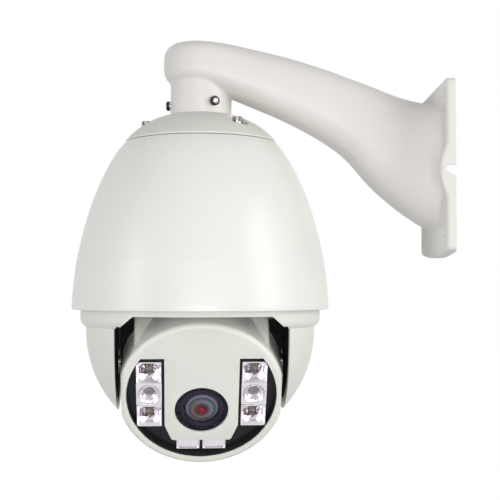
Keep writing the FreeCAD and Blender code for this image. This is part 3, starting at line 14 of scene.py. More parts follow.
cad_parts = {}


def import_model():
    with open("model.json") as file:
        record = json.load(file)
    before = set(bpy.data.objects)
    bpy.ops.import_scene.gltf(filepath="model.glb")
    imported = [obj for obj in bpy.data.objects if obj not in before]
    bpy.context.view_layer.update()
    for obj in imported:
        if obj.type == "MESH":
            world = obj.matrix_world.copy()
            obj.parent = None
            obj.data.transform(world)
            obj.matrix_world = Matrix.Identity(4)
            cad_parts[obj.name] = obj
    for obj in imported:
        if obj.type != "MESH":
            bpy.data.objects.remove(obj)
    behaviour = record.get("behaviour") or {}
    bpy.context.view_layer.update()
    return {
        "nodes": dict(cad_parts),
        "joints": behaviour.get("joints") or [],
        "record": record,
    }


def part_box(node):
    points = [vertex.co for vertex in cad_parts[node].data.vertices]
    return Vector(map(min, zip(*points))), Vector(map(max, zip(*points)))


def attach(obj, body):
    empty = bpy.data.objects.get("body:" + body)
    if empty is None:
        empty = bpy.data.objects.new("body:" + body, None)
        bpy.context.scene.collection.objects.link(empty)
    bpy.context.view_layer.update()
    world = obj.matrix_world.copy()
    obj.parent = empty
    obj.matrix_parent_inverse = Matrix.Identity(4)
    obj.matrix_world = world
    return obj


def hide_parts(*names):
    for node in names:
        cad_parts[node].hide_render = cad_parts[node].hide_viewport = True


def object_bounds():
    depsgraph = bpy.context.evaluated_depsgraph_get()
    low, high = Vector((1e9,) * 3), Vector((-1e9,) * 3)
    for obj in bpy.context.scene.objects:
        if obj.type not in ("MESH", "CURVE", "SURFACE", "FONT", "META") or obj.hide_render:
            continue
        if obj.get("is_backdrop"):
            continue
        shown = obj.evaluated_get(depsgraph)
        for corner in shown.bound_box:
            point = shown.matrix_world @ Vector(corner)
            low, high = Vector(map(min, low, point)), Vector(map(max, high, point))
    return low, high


log = logging.getLogger("dome_camera")

MM = 0.001
Profile = list[tuple[float, float]]


class Drawn(Enum):
    """The frame that a sub-assembly's pieces are drawn in, in millimetres."""

    WALL = "wall"
    DOME = "dome"
    PAN = "pan"
    HEAD = "head"


class Body(Enum):
    """The bodies that pieces ride on."""

    BRACKET = "bracket"
    YOKE = "yoke"
    HEAD = "head"


class Axis(Enum):
    """The axis that a turned piece is turned about."""

    X = "x"
    Y = "y"
    Z = "z"


def joint_named(joints: list[dict], name: str) -> dict:
    """The frame's joint of that name.

    Args:
        joints: the frame's joints.
        name: the joint's name.

    Returns:
        The joint's record.
    """
    return next(j for j in joints if j["name"] == name)


@dataclass
class Places:
    """Where each drawing frame lies in the row frame, worked out from the joints."""

    joints: list[dict]
    frames: dict[Drawn, Matrix] = field(default_factory=dict)

    def __post_init__(self) -> None:
        """Works out the four frames."""
        pan, tilt, zoom = (joint_named(self.joints, n) for n in ("pan", "tilt", "zoom"))
        axis = Vector(pan["pos_m"])
        side, back = Vector(tilt["axis"]), Vector(zoom["axis"])
        dome = Matrix.Translation((axis.x, axis.y, 0))
        turned = Matrix.Rotation(math.atan2(side.y, side.x), 4, "Z")
        level_back = Vector((-side.y, side.x, 0))
        leaned = math.atan2(back.z, back.dot(level_back))
        scale = Matrix.Scale(MM, 4)
        lift = Matrix.Translation((0, 0, tilt["pos_m"][2]))
        self.frames = {
            Drawn.WALL: scale,
            Drawn.DOME: dome @ scale,
            Drawn.PAN: dome @ turned @ scale,
            Drawn.HEAD: dome @ turned @ lift @ Matrix.Rotation(leaned, 4, "X") @ scale,
        }


# ---- Meshes ----
def new_piece(name: str, verts: Sequence, faces: Sequence) -> bpy.types.Object:
    """A mesh object linked to the scene.

    Args:
        name: the piece's name.
        verts: its points.
        faces: its faces, as point numbers.

    Returns:
        The object.
    """
    mesh = bpy.data.meshes.new(name)
    mesh.from_pydata([tuple(v) for v in verts], [], [tuple(f) for f in faces])
    mesh.validate()
    piece = bpy.data.objects.new(name, mesh)
    bpy.context.scene.collection.objects.link(piece)
    return piece


def mend_normals(piece: bpy.types.Object) -> None:
    """Merges doubled points and turns every face outwards.

    Args:
        piece: the object.
    """
    bm = bmesh.new()
    bm.from_mesh(piece.data)
    bmesh.ops.remove_doubles(bm, verts=bm.verts, dist=1e-4)
    bmesh.ops.recalc_face_normals(bm, faces=bm.faces)
    bm.to_mesh(piece.data)
    bm.free()


def smooth(piece: bpy.types.Object, angle: float = 32.0) -> bpy.types.Object:
    """Smooth shading with edges sharper than the angle left crisp.

    Args:
        piece: the object.
        angle: degrees between faces past which an edge stays crisp.

    Returns:
        The same object.
    """
    piece.data.shade_smooth()
    piece.data.set_sharp_from_angle(angle=math.radians(angle))
    return piece


def settle(piece: bpy.types.Object) -> bpy.types.Object:
    """Applies a piece's modifiers to its mesh.

    Args:
        piece: the object.

    Returns:
        The same object, without modifiers.
    """
    bpy.context.view_layer.update()
    graph = bpy.context.evaluated_depsgraph_get()
    mesh = bpy.data.meshes.new_from_object(piece.evaluated_get(graph))
    old = piece.data
    piece.modifiers.clear()
    piece.data = mesh
    bpy.data.meshes.remove(old)
    return piece


def combine(piece: bpy.types.Object, tools: Sequence, operation: str) -> bpy.types.Object:
    """Cuts tools out of a piece, or joins them to it, and removes the tools.

    Args:
        piece: the object to change.
        tools: the closed objects to use.
        operation: DIFFERENCE, UNION or INTERSECT.

    Returns:
        The changed object.
    """
    for tool in tools:
        step = piece.modifiers.new("step", "BOOLEAN")
        step.operation, step.solver, step.object = operation, "EXACT", tool
        settle(piece)
        old = tool.data
        bpy.data.objects.remove(tool)
        bpy.data.meshes.remove(old)
    return piece


def cut(piece: bpy.types.Object, tools: Sequence) -> bpy.types.Object:
    """Cuts closed tools out of a piece."""
    return combine(piece, tools, "DIFFERENCE")


def unite(piece: bpy.types.Object, tools: Sequence) -> bpy.types.Object:
    """Joins closed tools to a piece as one skin."""
    return combine(piece, tools, "UNION")


def gather(name: str, pieces: Sequence) -> bpy.types.Object:
    """One object that holds several pieces as loose parts.

    Args:
        name: the new object's name.
        pieces: the objects to gather, which are removed.

    Returns:
        The new object.
    """
    bm = bmesh.new()
    for piece in pieces:
        bm.from_mesh(piece.data)
    mesh = bpy.data.meshes.new(name)
    bm.to_mesh(mesh)
    bm.free()
    for piece in pieces:
        old = piece.data
        bpy.data.objects.remove(piece)
        bpy.data.meshes.remove(old)
    result = bpy.data.objects.new(name, mesh)
    bpy.context.scene.collection.objects.link(result)
    return result


def eased(piece: bpy.types.Object, width: float, steps: int = 3, angle: float = 30.0) -> bpy.types.Object:
    """Rounds every edge sharper than the angle.

    Args:
        piece: the object.
        width: the rounding's width in millimetres.
        steps: faces across the rounding.
        angle: degrees past which an edge is rounded.

    Returns:
        The same object.
    """
    bevel = piece.modifiers.new("ease", "BEVEL")
    bevel.width, bevel.segments, bevel.limit_method = width, steps, "ANGLE"
    bevel.angle_limit, bevel.harden_normals = math.radians(angle), False
    bevel.use_clamp_overlap = True
    return settle(piece)


def shifted(piece: bpy.types.Object, matrix: Matrix) -> bpy.types.Object:
    """Moves a piece's points by a matrix."""
    piece.data.transform(matrix)
    return piece


def moved(piece: bpy.types.Object, x: float, y: float, z: float) -> bpy.types.Object:
    """Moves a piece's points by a distance."""
    return shifted(piece, Matrix.Translation((x, y, z)))


def turned(piece: bpy.types.Object, degrees: float, axis: Axis) -> bpy.types.Object:
    """Turns a piece's points about an axis through the origin."""
    return shifted(piece, Matrix.Rotation(math.radians(degrees), 4, axis.value.upper()))


# ---- Outlines ----
def rounded(points: Profile, radii: Sequence[float], steps: int = 6) -> Profile:
    """A closed outline with each corner replaced by an arc.

    Args:
        points: the corners in order.
        radii: each corner's radius, 0 for a crisp one.
        steps: faces in each arc.

    Returns:
        The outline's points.
    """
    result: Profile = []
    count = len(points)
    for i, corner in enumerate(points):
        here = Vector(corner)
        before = Vector(points[i - 1]) - here
        after = Vector(points[(i + 1) % count]) - here
        angle = before.angle(after) if before.length and after.length else math.pi
        if radii[i] <= 0 or angle > math.pi - 0.02:
            result.append(corner)
            continue
        reach = min(radii[i] / math.tan(angle / 2), before.length * 0.49, after.length * 0.49)
        radius = reach * math.tan(angle / 2)
        middle = here + (before.normalized() + after.normalized()).normalized() * radius / math.sin(angle / 2)
        first, last = here + before.normalized() * reach, here + after.normalized() * reach
        a = math.atan2(first.y - middle.y, first.x - middle.x)
        b = math.atan2(last.y - middle.y, last.x - middle.x)
        sweep = (b - a + math.pi) % (2 * math.pi) - math.pi
        for k in range(steps + 1):
            t = a + sweep * k / steps
            result.append((middle.x + radius * math.cos(t), middle.y + radius * math.sin(t)))
    return result


def flowing(points: Profile, steps: int = 8) -> Profile:
    """A smooth curve through points, with even slopes.

    Args:
        points: the points to pass through.
        steps: spans between two points.

    Returns:
        The curve's points, ends included.
    """
    result: Profile = []
    last = len(points) - 1
    for i in range(last):
        p = [Vector(points[max(0, min(last, i + k))]) for k in (-1, 0, 1, 2)]
        lengths = [max(1e-6, (p[k + 1] - p[k]).length) for k in range(3)]
        m1 = (p[2] - p[0]) / (lengths[0] + lengths[1]) * lengths[1] if i else p[2] - p[1]
        m2 = (p[3] - p[1]) / (lengths[1] + lengths[2]) * lengths[1] if i < last - 1 else p[2] - p[1]
        for k in range(steps + (i == last - 1)):
            t = k / steps
            a, b = 2 * t**3 - 3 * t**2 + 1, t**3 - 2 * t**2 + t
            c, d = -2 * t**3 + 3 * t**2, t**3 - t**2
            q = p[1] * a + m1 * b + p[2] * c + m2 * d
            result.append((q.x, q.y))
    return result


def inset_by(points: Profile, wall: float) -> Profile:
    """An open outline moved square to itself, to its left as it runs downwards.

    Args:
        points: the outline's points.
        wall: the distance.

    Returns:
        As many points, moved.
    """
    result: Profile = []
    for i, (r, z) in enumerate(points):
        r0, z0 = points[max(0, i - 1)]
        r1, z1 = points[min(len(points) - 1, i + 1)]
        along = math.hypot(r1 - r0, z1 - z0) or 1.0
        result.append((r + wall * (z1 - z0) / along, z - wall * (r1 - r0) / along))
    return result


def bowed(reach: float, ball: float, start: float, steps: int) -> Profile:
    """An arc of a ball's section, from the axis outwards.

    Args:
        reach: the radius at which it ends.
        ball: the ball's radius.
        start: the height at which it leaves the axis.
        steps: spans along the arc.

    Returns:
        The arc's points, ends included.
    """
    radii = [reach * k / steps for k in range(steps + 1)]
    return [(r, start + ball - math.sqrt(ball**2 - r**2)) for r in radii]


def squared_off(angle: float, power: float) -> tuple[float, float]:
    """The unit circle's point at an angle, drawn out towards a square as the power falls below 1."""
    c, s = math.cos(angle), math.sin(angle)
    return math.copysign(abs(c) ** power, c), math.copysign(abs(s) ** power, s)


def lathe(name: str, outline: Profile, axis: Axis = Axis.Z, around: int = 128) -> bpy.types.Object:
    """A solid turned from a closed outline of radius and height.

    Args:
        name: the piece's name.
        outline: the closed outline, in order. Points at radius 0 become one point on the axis.
        axis: the axis turned about. The height runs along it.
        around: faces round the axis.

    Returns:
        The object.
    """
    verts: list[tuple[float, float, float]] = []
    rows: list[list[int]] = []
    for r, z in outline:
        if abs(r) < 1e-6:
            rows.append([len(verts)] * around)
            verts.append((0, 0, z))
            continue
        rows.append(list(range(len(verts), len(verts) + around)))
        for k in range(around):
            a = 2 * math.pi * k / around
            verts.append((r * math.cos(a), r * math.sin(a), z))
    faces = []
    for i, row in enumerate(rows):
        nxt = rows[(i + 1) % len(rows)]
        if row[0] == row[1] and nxt[0] == nxt[1]:
            continue
        if row[0] == row[1] or nxt[0] == nxt[1]:
            ring, tip = (nxt, row[0]) if row[0] == row[1] else (row, nxt[0])
            flat = abs(verts[ring[0]][2] - verts[tip][2]) < 1e-6
            if flat:
                faces.append(tuple(ring))
                continue
            faces += [(ring[k], ring[(k + 1) % around], tip) for k in range(around)]
            continue
        faces += [(row[k], row[(k + 1) % around], nxt[(k + 1) % around], nxt[k]) for k in range(around)]
    piece = new_piece(name, verts, faces)
    mend_loose(piece)
    mend_normals(piece)
    if axis is Axis.X:
        shifted(piece, Matrix(((0, 0, 1, 0), (1, 0, 0, 0), (0, 1, 0, 0), (0, 0, 0, 1))))
    if axis is Axis.Y:
        shifted(piece, Matrix(((0, 1, 0, 0), (0, 0, 1, 0), (1, 0, 0, 0), (0, 0, 0, 1))))
    return piece


def mend_loose(piece: bpy.types.Object) -> None:
    """Removes points that no face uses.

    Args:
        piece: the object.
    """
    bm = bmesh.new()
    bm.from_mesh(piece.data)
    bmesh.ops.delete(bm, geom=[v for v in bm.verts if not v.link_faces], context="VERTS")
    bm.to_mesh(piece.data)
    bm.free()


def prism(name: str, outline: Profile, low: float, high: float, axis: Axis = Axis.Z) -> bpy.types.Object:
    """A solid pushed out from a closed outline.

    Args:
        name: the piece's name.
        outline: the closed outline. It lies in X and Y for Z, X and Z for Y, Y and Z for X.
        low: where the solid starts along the axis.
        high: where it ends.
        axis: the axis it is pushed along.

    Returns:
        The object.
    """
    count = len(outline)
    put: dict[Axis, Callable] = {
        Axis.Z: lambda a, b, t: (a, b, t),
        Axis.Y: lambda a, b, t: (a, t, b),
        Axis.X: lambda a, b, t: (t, a, b),
    }
    verts = [put[axis](a, b, t) for t in (low, high) for a, b in outline]
    faces = [tuple(range(count)), tuple(range(2 * count - 1, count - 1, -1))]
    faces += [(i, (i + 1) % count, count + (i + 1) % count, count + i) for i in range(count)]
    piece = new_piece(name, verts, faces)
    mend_normals(piece)
    return piece


def rectangle(x0: float, x1: float, y0: float, y1: float, radius: float = 0.0) -> Profile:
    """A rectangle's outline with rounded corners."""
    corners = [(x0, y0), (x1, y0), (x1, y1), (x0, y1)]
    return rounded(corners, [radius] * 4) if radius else corners


def loft(
    name: str, rings: Sequence[Sequence], close_start: bool = True, close_end: bool = True
) -> bpy.types.Object:
    """A skin through rings of points, all of one length.

    Args:
        name: the piece's name.
        rings: the rings in order.
        close_start: whether the first ring is filled.
        close_end: whether the last ring is filled.

    Returns:
        The object.
    """
    count = len(rings[0])
    verts = [v for ring in rings for v in ring]
    faces = []
    for i in range(len(rings) - 1):
        for k in range(count):
            a, b = i * count + k, i * count + (k + 1) % count
            faces.append((a, b, b + count, a + count))
    if close_start:
        faces.append(tuple(range(count - 1, -1, -1)))
    if close_end:
        faces.append(tuple(range((len(rings) - 1) * count, len(rings) * count)))
    piece = new_piece(name, verts, faces)
    mend_normals(piece)
    return piece


def at_angle(degrees: float, radius: float) -> tuple[float, float]:
    """A point at an angle from the front (-Y) towards +X."""
    a = math.radians(degrees)
    return radius * math.sin(a), -radius * math.cos(a)


# ---- Shader helpers ----
def srgb(red: int, green: int, blue: int) -> tuple[float, float, float, float]:
    """A paint-chart colour as the linear colour that a shader takes.

    Args:
        red: the red value, 0 to 255.
        green: the green value.
        blue: the blue value.

    Returns:
        The colour in linear values, with full opacity.
    """
    parts = [v / 255 for v in (red, green, blue)]
    linear = [v / 12.92 if v <= 0.04045 else ((v + 0.055) / 1.055) ** 2.4 for v in parts]
    return linear[0], linear[1], linear[2], 1.0


@dataclass
class Bench:
    """Lays out the nodes of one shader tree."""

    tree: bpy.types.NodeTree

    def add(self, kind: str, **settings: object) -> bpy.types.Node:
        """A node with its properties set.

        Args:
            kind: the node's type.
            settings: its properties.

        Returns:
            The node.
        """
        node = self.tree.nodes.new(kind)
        for key, value in settings.items():
            setattr(node, key, value)
        return node

    def join(self, source: object, target: object) -> None:
        """Links an output socket to an input socket."""
        self.tree.links.new(source, target)

    def feed(self, node: bpy.types.Node, **values: object) -> bpy.types.Node:
        """Sets or links a node's inputs by name, with underscores for spaces.

        Args:
            node: the node.
            values: a number, a colour or a socket for each input.

        Returns:
            The same node.
        """
        for key, value in values.items():
            socket = node.inputs[key.replace("_", " ")]
            if isinstance(value, bpy.types.NodeSocket):
                self.join(value, socket)
            else:
                socket.default_value = value
        return node

    def sum(self, operation: str, first: object, second: object) -> object:
        """A math node's result.

        Args:
            operation: the math node's operation.
            first: its first number or socket.
            second: its second.

        Returns:
            The node's output socket.
        """
        node = self.add("ShaderNodeMath", operation=operation)
        for socket, value in zip(node.inputs, (first, second)):
            if isinstance(value, bpy.types.NodeSocket):
                self.join(value, socket)
            else:
                socket.default_value = value
        return node.outputs[0]

    def ramp(self, fac: object, stops: Sequence) -> object:
        """A colour ramp's result.

        Args:
            fac: the socket that drives it.
            stops: pairs of position and colour.

        Returns:
            The ramp's colour output.
        """
        node = self.add("ShaderNodeValToRGB")
        band = node.color_ramp
        while len(band.elements) < len(stops):
            band.elements.new(0.5)
        for element, (place, colour) in zip(band.elements, stops):
            element.position, element.color = place, colour
        self.join(fac, node.inputs["Fac"])
        return node.outputs["Color"]

    def mixed(self, blend: str, fac: object, first: object, second: object) -> object:
        """Two colours mixed.

        Args:
            blend: the blend type.
            fac: how much of the second colour is taken.
            first: the first colour or socket.
            second: the second.

        Returns:
            The mixed colour's socket.
        """
        node = self.add("ShaderNodeMix", data_type="RGBA", blend_type=blend)
        for index, value in ((0, fac), (6, first), (7, second)):
            if isinstance(value, bpy.types.NodeSocket):
                self.join(value, node.inputs[index])
            else:
                node.inputs[index].default_value = value
        return node.outputs[2]


def group_tree(name: str, takes: dict[str, float | tuple], gives: dict[str, str]) -> tuple:
    """An empty node group with named inputs and outputs.

    Args:
        name: the group's name.
        takes: each input's name and its starting number or colour.
        gives: each output's name and its socket type.

    Returns:
        The tree, its bench, its input node and its output node.
    """
    tree = bpy.data.node_groups.new(name, "ShaderNodeTree")
    for key, value in takes.items():
        kind = "NodeSocketColor" if isinstance(value, tuple) else "NodeSocketFloat"
        tree.interface.new_socket(key, in_out="INPUT", socket_type=kind).default_value = value
    for key, kind in gives.items():
        tree.interface.new_socket(key, in_out="OUTPUT", socket_type=kind)
    bench = Bench(tree)
    return tree, bench, bench.add("NodeGroupInput"), bench.add("NodeGroupOutput")


@dataclass
class Effects:
    """The surface effects that several finishes share, each built once."""

    trees: dict[str, bpy.types.NodeTree] = field(default_factory=dict)

    def __post_init__(self) -> None:
        """Builds the groups."""
        self.trees = {
            "grain": self.grain(),
            "drift": self.drift(),
            "edges": self.edges(),
            "dust": self.dust(),
            "brush": self.brush(),
        }

    def place(self, bench: Bench, name: str, **values: object) -> bpy.types.Node:
        """One of the groups in a material, with its own values.

        Args:
            bench: the material's bench.
            name: the group's short name.
            values: the values of its inputs.

        Returns:
            The group's node.
        """
        node = bench.add("ShaderNodeGroup")
        node.node_tree = self.trees[name]
        return bench.feed(node, **values)

    @staticmethod
    def noise(bench: Bench, scale: object, detail: float, stretch: tuple | None = None) -> object:
        """A noise value over the piece's own coordinates, in metres.

        Args:
            bench: the tree's bench.
            scale: the noise's scale.
            detail: its detail.
            stretch: how much each axis is stretched, or None.

        Returns:
            The noise's output socket.
        """
        where = bench.add("ShaderNodeTexCoord").outputs["Object"]
        if stretch:
            lean = bench.add("ShaderNodeMapping")
            bench.join(where, lean.inputs["Vector"])
            lean.inputs["Scale"].default_value = stretch
            where = lean.outputs["Vector"]
        node = bench.add("ShaderNodeTexNoise")
        bench.feed(node, Vector=where, Scale=scale, Detail=detail)
        return node.outputs["Fac"]

    def grain(self) -> bpy.types.NodeTree:
        """A moulded or sprayed skin: fine peel in the height, slow change in the roughness.

        Returns:
            The group.
        """
        takes = {"Scale": 900.0, "Rough": 0.4, "Spread": 0.08}
        gives = {"Roughness": "NodeSocketFloat", "Height": "NodeSocketFloat"}
        tree, bench, given, out = group_tree("skin_grain", takes, gives)
        scale = given.outputs["Scale"]
        fine = self.noise(bench, scale, 3.0)
        slow = self.noise(bench, bench.sum("MULTIPLY", scale, 0.02), 2.0)
        swing = bench.sum("MULTIPLY", bench.sum("SUBTRACT", slow, 0.5), given.outputs["Spread"])
        bench.join(bench.sum("ADD", given.outputs["Rough"], swing), out.inputs["Roughness"])
        bench.join(fine, out.inputs["Height"])
        return tree

    def drift(self) -> bpy.types.NodeTree:
        """A colour that drifts a little lighter and darker over the surface.

        Returns:
            The group.
        """
        takes = {"Colour": (0.8, 0.8, 0.8, 1.0), "Amount": 0.05, "Scale": 14.0}
        tree, bench, given, out = group_tree("tone_drift", takes, {"Colour": "NodeSocketColor"})
        slow = self.noise(bench, given.outputs["Scale"], 3.0)
        swing = bench.sum("MULTIPLY", bench.sum("SUBTRACT", slow, 0.5), given.outputs["Amount"])
        level = bench.sum("ADD", 1.0, swing)
        grey = bench.add("ShaderNodeCombineColor")
        for part in ("Red", "Green", "Blue"):
            bench.join(level, grey.inputs[part])
        tone = bench.mixed("MULTIPLY", 1.0, given.outputs["Colour"], grey.outputs["Color"])
        bench.join(tone, out.inputs["Colour"])
        return tree

    def edges(self) -> bpy.types.NodeTree:
        """A mask that is strongest along rubbed outer edges.

        Returns:
            The group.
        """
        takes = {"Amount": 0.5}
        tree, bench, given, out = group_tree("rubbed_edges", takes, {"Mask": "NodeSocketFloat"})
        bent = bench.add("ShaderNodeNewGeometry").outputs["Pointiness"]
        sharp = bench.add("ShaderNodeMapRange")
        bench.feed(sharp, Value=bent, From_Min=0.53, From_Max=0.62)
        broken = bench.add("ShaderNodeMapRange")
        bench.feed(broken, Value=self.noise(bench, 220.0, 4.0), From_Min=0.35, From_Max=0.6)
        mask = bench.sum("MULTIPLY", sharp.outputs["Result"], broken.outputs["Result"])
        bench.join(bench.sum("MULTIPLY", mask, given.outputs["Amount"]), out.inputs["Mask"])
        return tree

    def dust(self) -> bpy.types.NodeTree:
        """A mask for the dust that settles on surfaces facing up.

        Returns:
            The group.
        """
        takes = {"Amount": 0.2}
        tree, bench, given, out = group_tree("settled_dust", takes, {"Mask": "NodeSocketFloat"})
        parts = bench.add("ShaderNodeSeparateXYZ")
        bench.join(bench.add("ShaderNodeNewGeometry").outputs["Normal"], parts.inputs[0])
        upward = bench.add("ShaderNodeMapRange")
        bench.feed(upward, Value=parts.outputs["Z"], From_Min=0.35, From_Max=1.0)
        specks = self.noise(bench, 160.0, 6.0)
        mask = bench.sum("MULTIPLY", upward.outputs["Result"], specks)
        bench.join(bench.sum("MULTIPLY", mask, given.outputs["Amount"]), out.inputs["Mask"])
        return tree

    def brush(self) -> bpy.types.NodeTree:
        """Fine drawn lines of metal, in the roughness and the height.

        Returns:
            The group.
        """
        takes = {"Scale": 500.0, "Rough": 0.3, "Spread": 0.15}
        gives = {"Roughness": "NodeSocketFloat", "Height": "NodeSocketFloat"}
        tree, bench, given, out = group_tree("drawn_lines", takes, gives)
        lines = self.noise(bench, given.outputs["Scale"], 4.0, (0.08, 0.08, 1.0))
        swing = bench.sum("MULTIPLY", bench.sum("SUBTRACT", lines, 0.5), given.outputs["Spread"])
        bench.join(bench.sum("ADD", given.outputs["Rough"], swing), out.inputs["Roughness"])
        bench.join(lines, out.inputs["Height"])
        return tree


# ---- Finishes ----
@dataclass(frozen=True)
class Finish:
    """One finish: a name, a colour and how rough it is. Each kind adds its own nodes."""

    name: str
    colour: tuple
    rough: float = 0.4

    def start(self) -> tuple:
        """A new material with its Principled shader.

        Returns:
            The material, its bench and the shader.
        """
        material = bpy.data.materials.new(self.name)
        material.use_nodes = True
        material.node_tree.nodes.clear()
        bench = Bench(material.node_tree)
        shader = bench.add("ShaderNodeBsdfPrincipled")
        out = bench.add("ShaderNodeOutputMaterial")
        bench.join(shader.outputs["BSDF"], out.inputs["Surface"])
        return material, bench, shader

    def bump(self, bench: Bench, shader: bpy.types.Node, height: object, depth: float) -> None:
        """Raises the surface's fine relief.

        Args:
            bench: the material's bench.
            shader: its Principled shader.
            height: the socket that gives the relief.
            depth: the relief's depth in metres.
        """
        node = bench.add("ShaderNodeBump")
        bench.feed(node, Height=height, Distance=depth, Strength=0.6)
        bench.join(node.outputs["Normal"], shader.inputs["Normal"])

    def build(self, effects: Effects) -> bpy.types.Material:
        """Builds the material."""
        raise NotImplementedError


@dataclass(frozen=True)
class Painted(Finish):
    """Sprayed or moulded pale skin, with faint peel, dust on top and rubbed edges."""

    grain: float = 900.0
    depth: float = 0.00004
    drift: float = 0.04
    wear: float = 0.25
    dust: float = 0.12
    coat: float = 0.0
    worn: tuple = (0.86, 0.86, 0.84, 1.0)
    dirt: tuple = (0.46, 0.44, 0.40, 1.0)

    def build(self, effects: Effects) -> bpy.types.Material:
        """Builds the paint.

        Args:
            effects: the shared surface effects.

        Returns:
            The material.
        """
        material, bench, shader = self.start()
        skin = effects.place(bench, "grain", Scale=self.grain, Rough=self.rough, Spread=0.1)
        tone = effects.place(bench, "drift", Colour=self.colour, Amount=self.drift, Scale=16.0)
        edges = effects.place(bench, "edges", Amount=self.wear)
        dust = effects.place(bench, "dust", Amount=self.dust)
        rubbed = bench.mixed("MIX", edges.outputs["Mask"], tone.outputs["Colour"], self.worn)
        final = bench.mixed("MIX", dust.outputs["Mask"], rubbed, self.dirt)
        bench.feed(shader, Base_Color=final, Roughness=skin.outputs["Roughness"])
        bench.feed(shader, Coat_Weight=self.coat, Coat_Roughness=0.25)
        self.bump(bench, shader, skin.outputs["Height"], self.depth)
        return material


@dataclass(frozen=True)
class Plain(Finish):
    """Black or coloured moulding and rubber: deeper grain and a little dust."""

    grain: float = 1400.0
    depth: float = 0.00006
    sheen: float = 0.0
    ior: float = 1.45
    dirt: tuple = (0.16, 0.15, 0.14, 1.0)

    def build(self, effects: Effects) -> bpy.types.Material:
        """Builds the moulding.

        Args:
            effects: the shared surface effects.

        Returns:
            The material.
        """
        material, bench, shader = self.start()
        skin = effects.place(bench, "grain", Scale=self.grain, Rough=self.rough, Spread=0.16)
        tone = effects.place(bench, "drift", Colour=self.colour, Amount=0.25, Scale=40.0)
        dust = effects.place(bench, "dust", Amount=0.2)
        final = bench.mixed("MIX", dust.outputs["Mask"], tone.outputs["Colour"], self.dirt)
        bench.feed(shader, Base_Color=final, Roughness=skin.outputs["Roughness"])
        bench.feed(shader, Sheen_Weight=self.sheen, IOR=self.ior)
        self.bump(bench, shader, skin.outputs["Height"], self.depth)
        return material


@dataclass(frozen=True)
class Metal(Finish):
    """Turned, drawn or plated metal, brighter along its rubbed edges."""

    lines: float = 500.0
    spread: float = 0.15
    depth: float = 0.00002
    worn: tuple = (0.9, 0.9, 0.9, 1.0)

    def build(self, effects: Effects) -> bpy.types.Material:
        """Builds the metal.

        Args:
            effects: the shared surface effects.

        Returns:
            The material.
        """
        material, bench, shader = self.start()
        drawn = effects.place(bench, "brush", Scale=self.lines, Rough=self.rough, Spread=self.spread)
        tone = effects.place(bench, "drift", Colour=self.colour, Amount=0.2, Scale=120.0)
        edges = effects.place(bench, "edges", Amount=0.5)
        final = bench.mixed("MIX", edges.outputs["Mask"], tone.outputs["Colour"], self.worn)
        bench.feed(shader, Base_Color=final, Roughness=drawn.outputs["Roughness"], Metallic=1.0)
        self.bump(bench, shader, drawn.outputs["Height"], self.depth)
        return material


@dataclass(frozen=True)
class Circuit(Finish):
    """Solder-masked board with faint tracks."""

    track: tuple = (0.05, 0.30, 0.12, 1.0)

    def build(self, effects: Effects) -> bpy.types.Material:
        """Builds the board's finish.

        Args:
            effects: the shared surface effects.

        Returns:
            The material.
        """
        material, bench, shader = self.start()
        where = bench.add("ShaderNodeTexCoord").outputs["Object"]
        tracks = bench.add("ShaderNodeTexBrick", offset=0.35, squash=0.6)
        bench.feed(tracks, Vector=where, Scale=160.0, Mortar_Size=0.012, Bias=0.0)
        tone = effects.place(bench, "drift", Colour=self.colour, Amount=0.3, Scale=70.0)
        final = bench.mixed("MIX", tracks.outputs["Fac"], tone.outputs["Colour"], self.track)
        skin = effects.place(bench, "grain", Scale=700.0, Rough=self.rough, Spread=0.1)
        bench.feed(shader, Base_Color=final, Roughness=skin.outputs["Roughness"])
        self.bump(bench, shader, tracks.outputs["Fac"], 0.00003)
        return material


@dataclass(frozen=True)
class Clear(Finish):
    """Clear glass or acrylic, with faint smears in its polish."""

    ior: float = 1.5
    through: float = 1.0

    def build(self, effects: Effects) -> bpy.types.Material:
        """Builds the glass.

        Args:
            effects: the shared surface effects.

        Returns:
            The material.
        """
        material, bench, shader = self.start()
        smears = effects.place(bench, "grain", Scale=1500.0, Rough=self.rough, Spread=0.04)
        tone = effects.place(bench, "drift", Colour=self.colour, Amount=0.03, Scale=60.0)
        bench.feed(shader, Base_Color=tone.outputs["Colour"], Roughness=smears.outputs["Roughness"])
        bench.feed(shader, IOR=self.ior, Transmission_Weight=self.through, Metallic=0.0)
        return material


@dataclass(frozen=True)
class Emitter(Finish):
    """An infrared die: a sand-coloured square with a fine wire grid on a pale carrier."""

    carrier: tuple = (0.45, 0.43, 0.40, 1.0)

    def build(self, effects: Effects) -> bpy.types.Material:
        """Builds the die's finish.

        Args:
            effects: the shared surface effects.

        Returns:
            The material.
        """
        material, bench, shader = self.start()
        where = bench.add("ShaderNodeTexCoord").outputs["Object"]
        grid = bench.add("ShaderNodeTexBrick", offset=0.0)
        bench.feed(grid, Vector=where, Scale=900.0, Mortar_Size=0.02)
        tone = effects.place(bench, "drift", Colour=self.colour, Amount=0.3, Scale=400.0)
        final = bench.mixed("MIX", grid.outputs["Fac"], tone.outputs["Colour"], self.carrier)
        skin = effects.place(bench, "grain", Scale=2000.0, Rough=self.rough, Spread=0.1)
        bench.feed(shader, Base_Color=final, Roughness=skin.outputs["Roughness"])
        return material


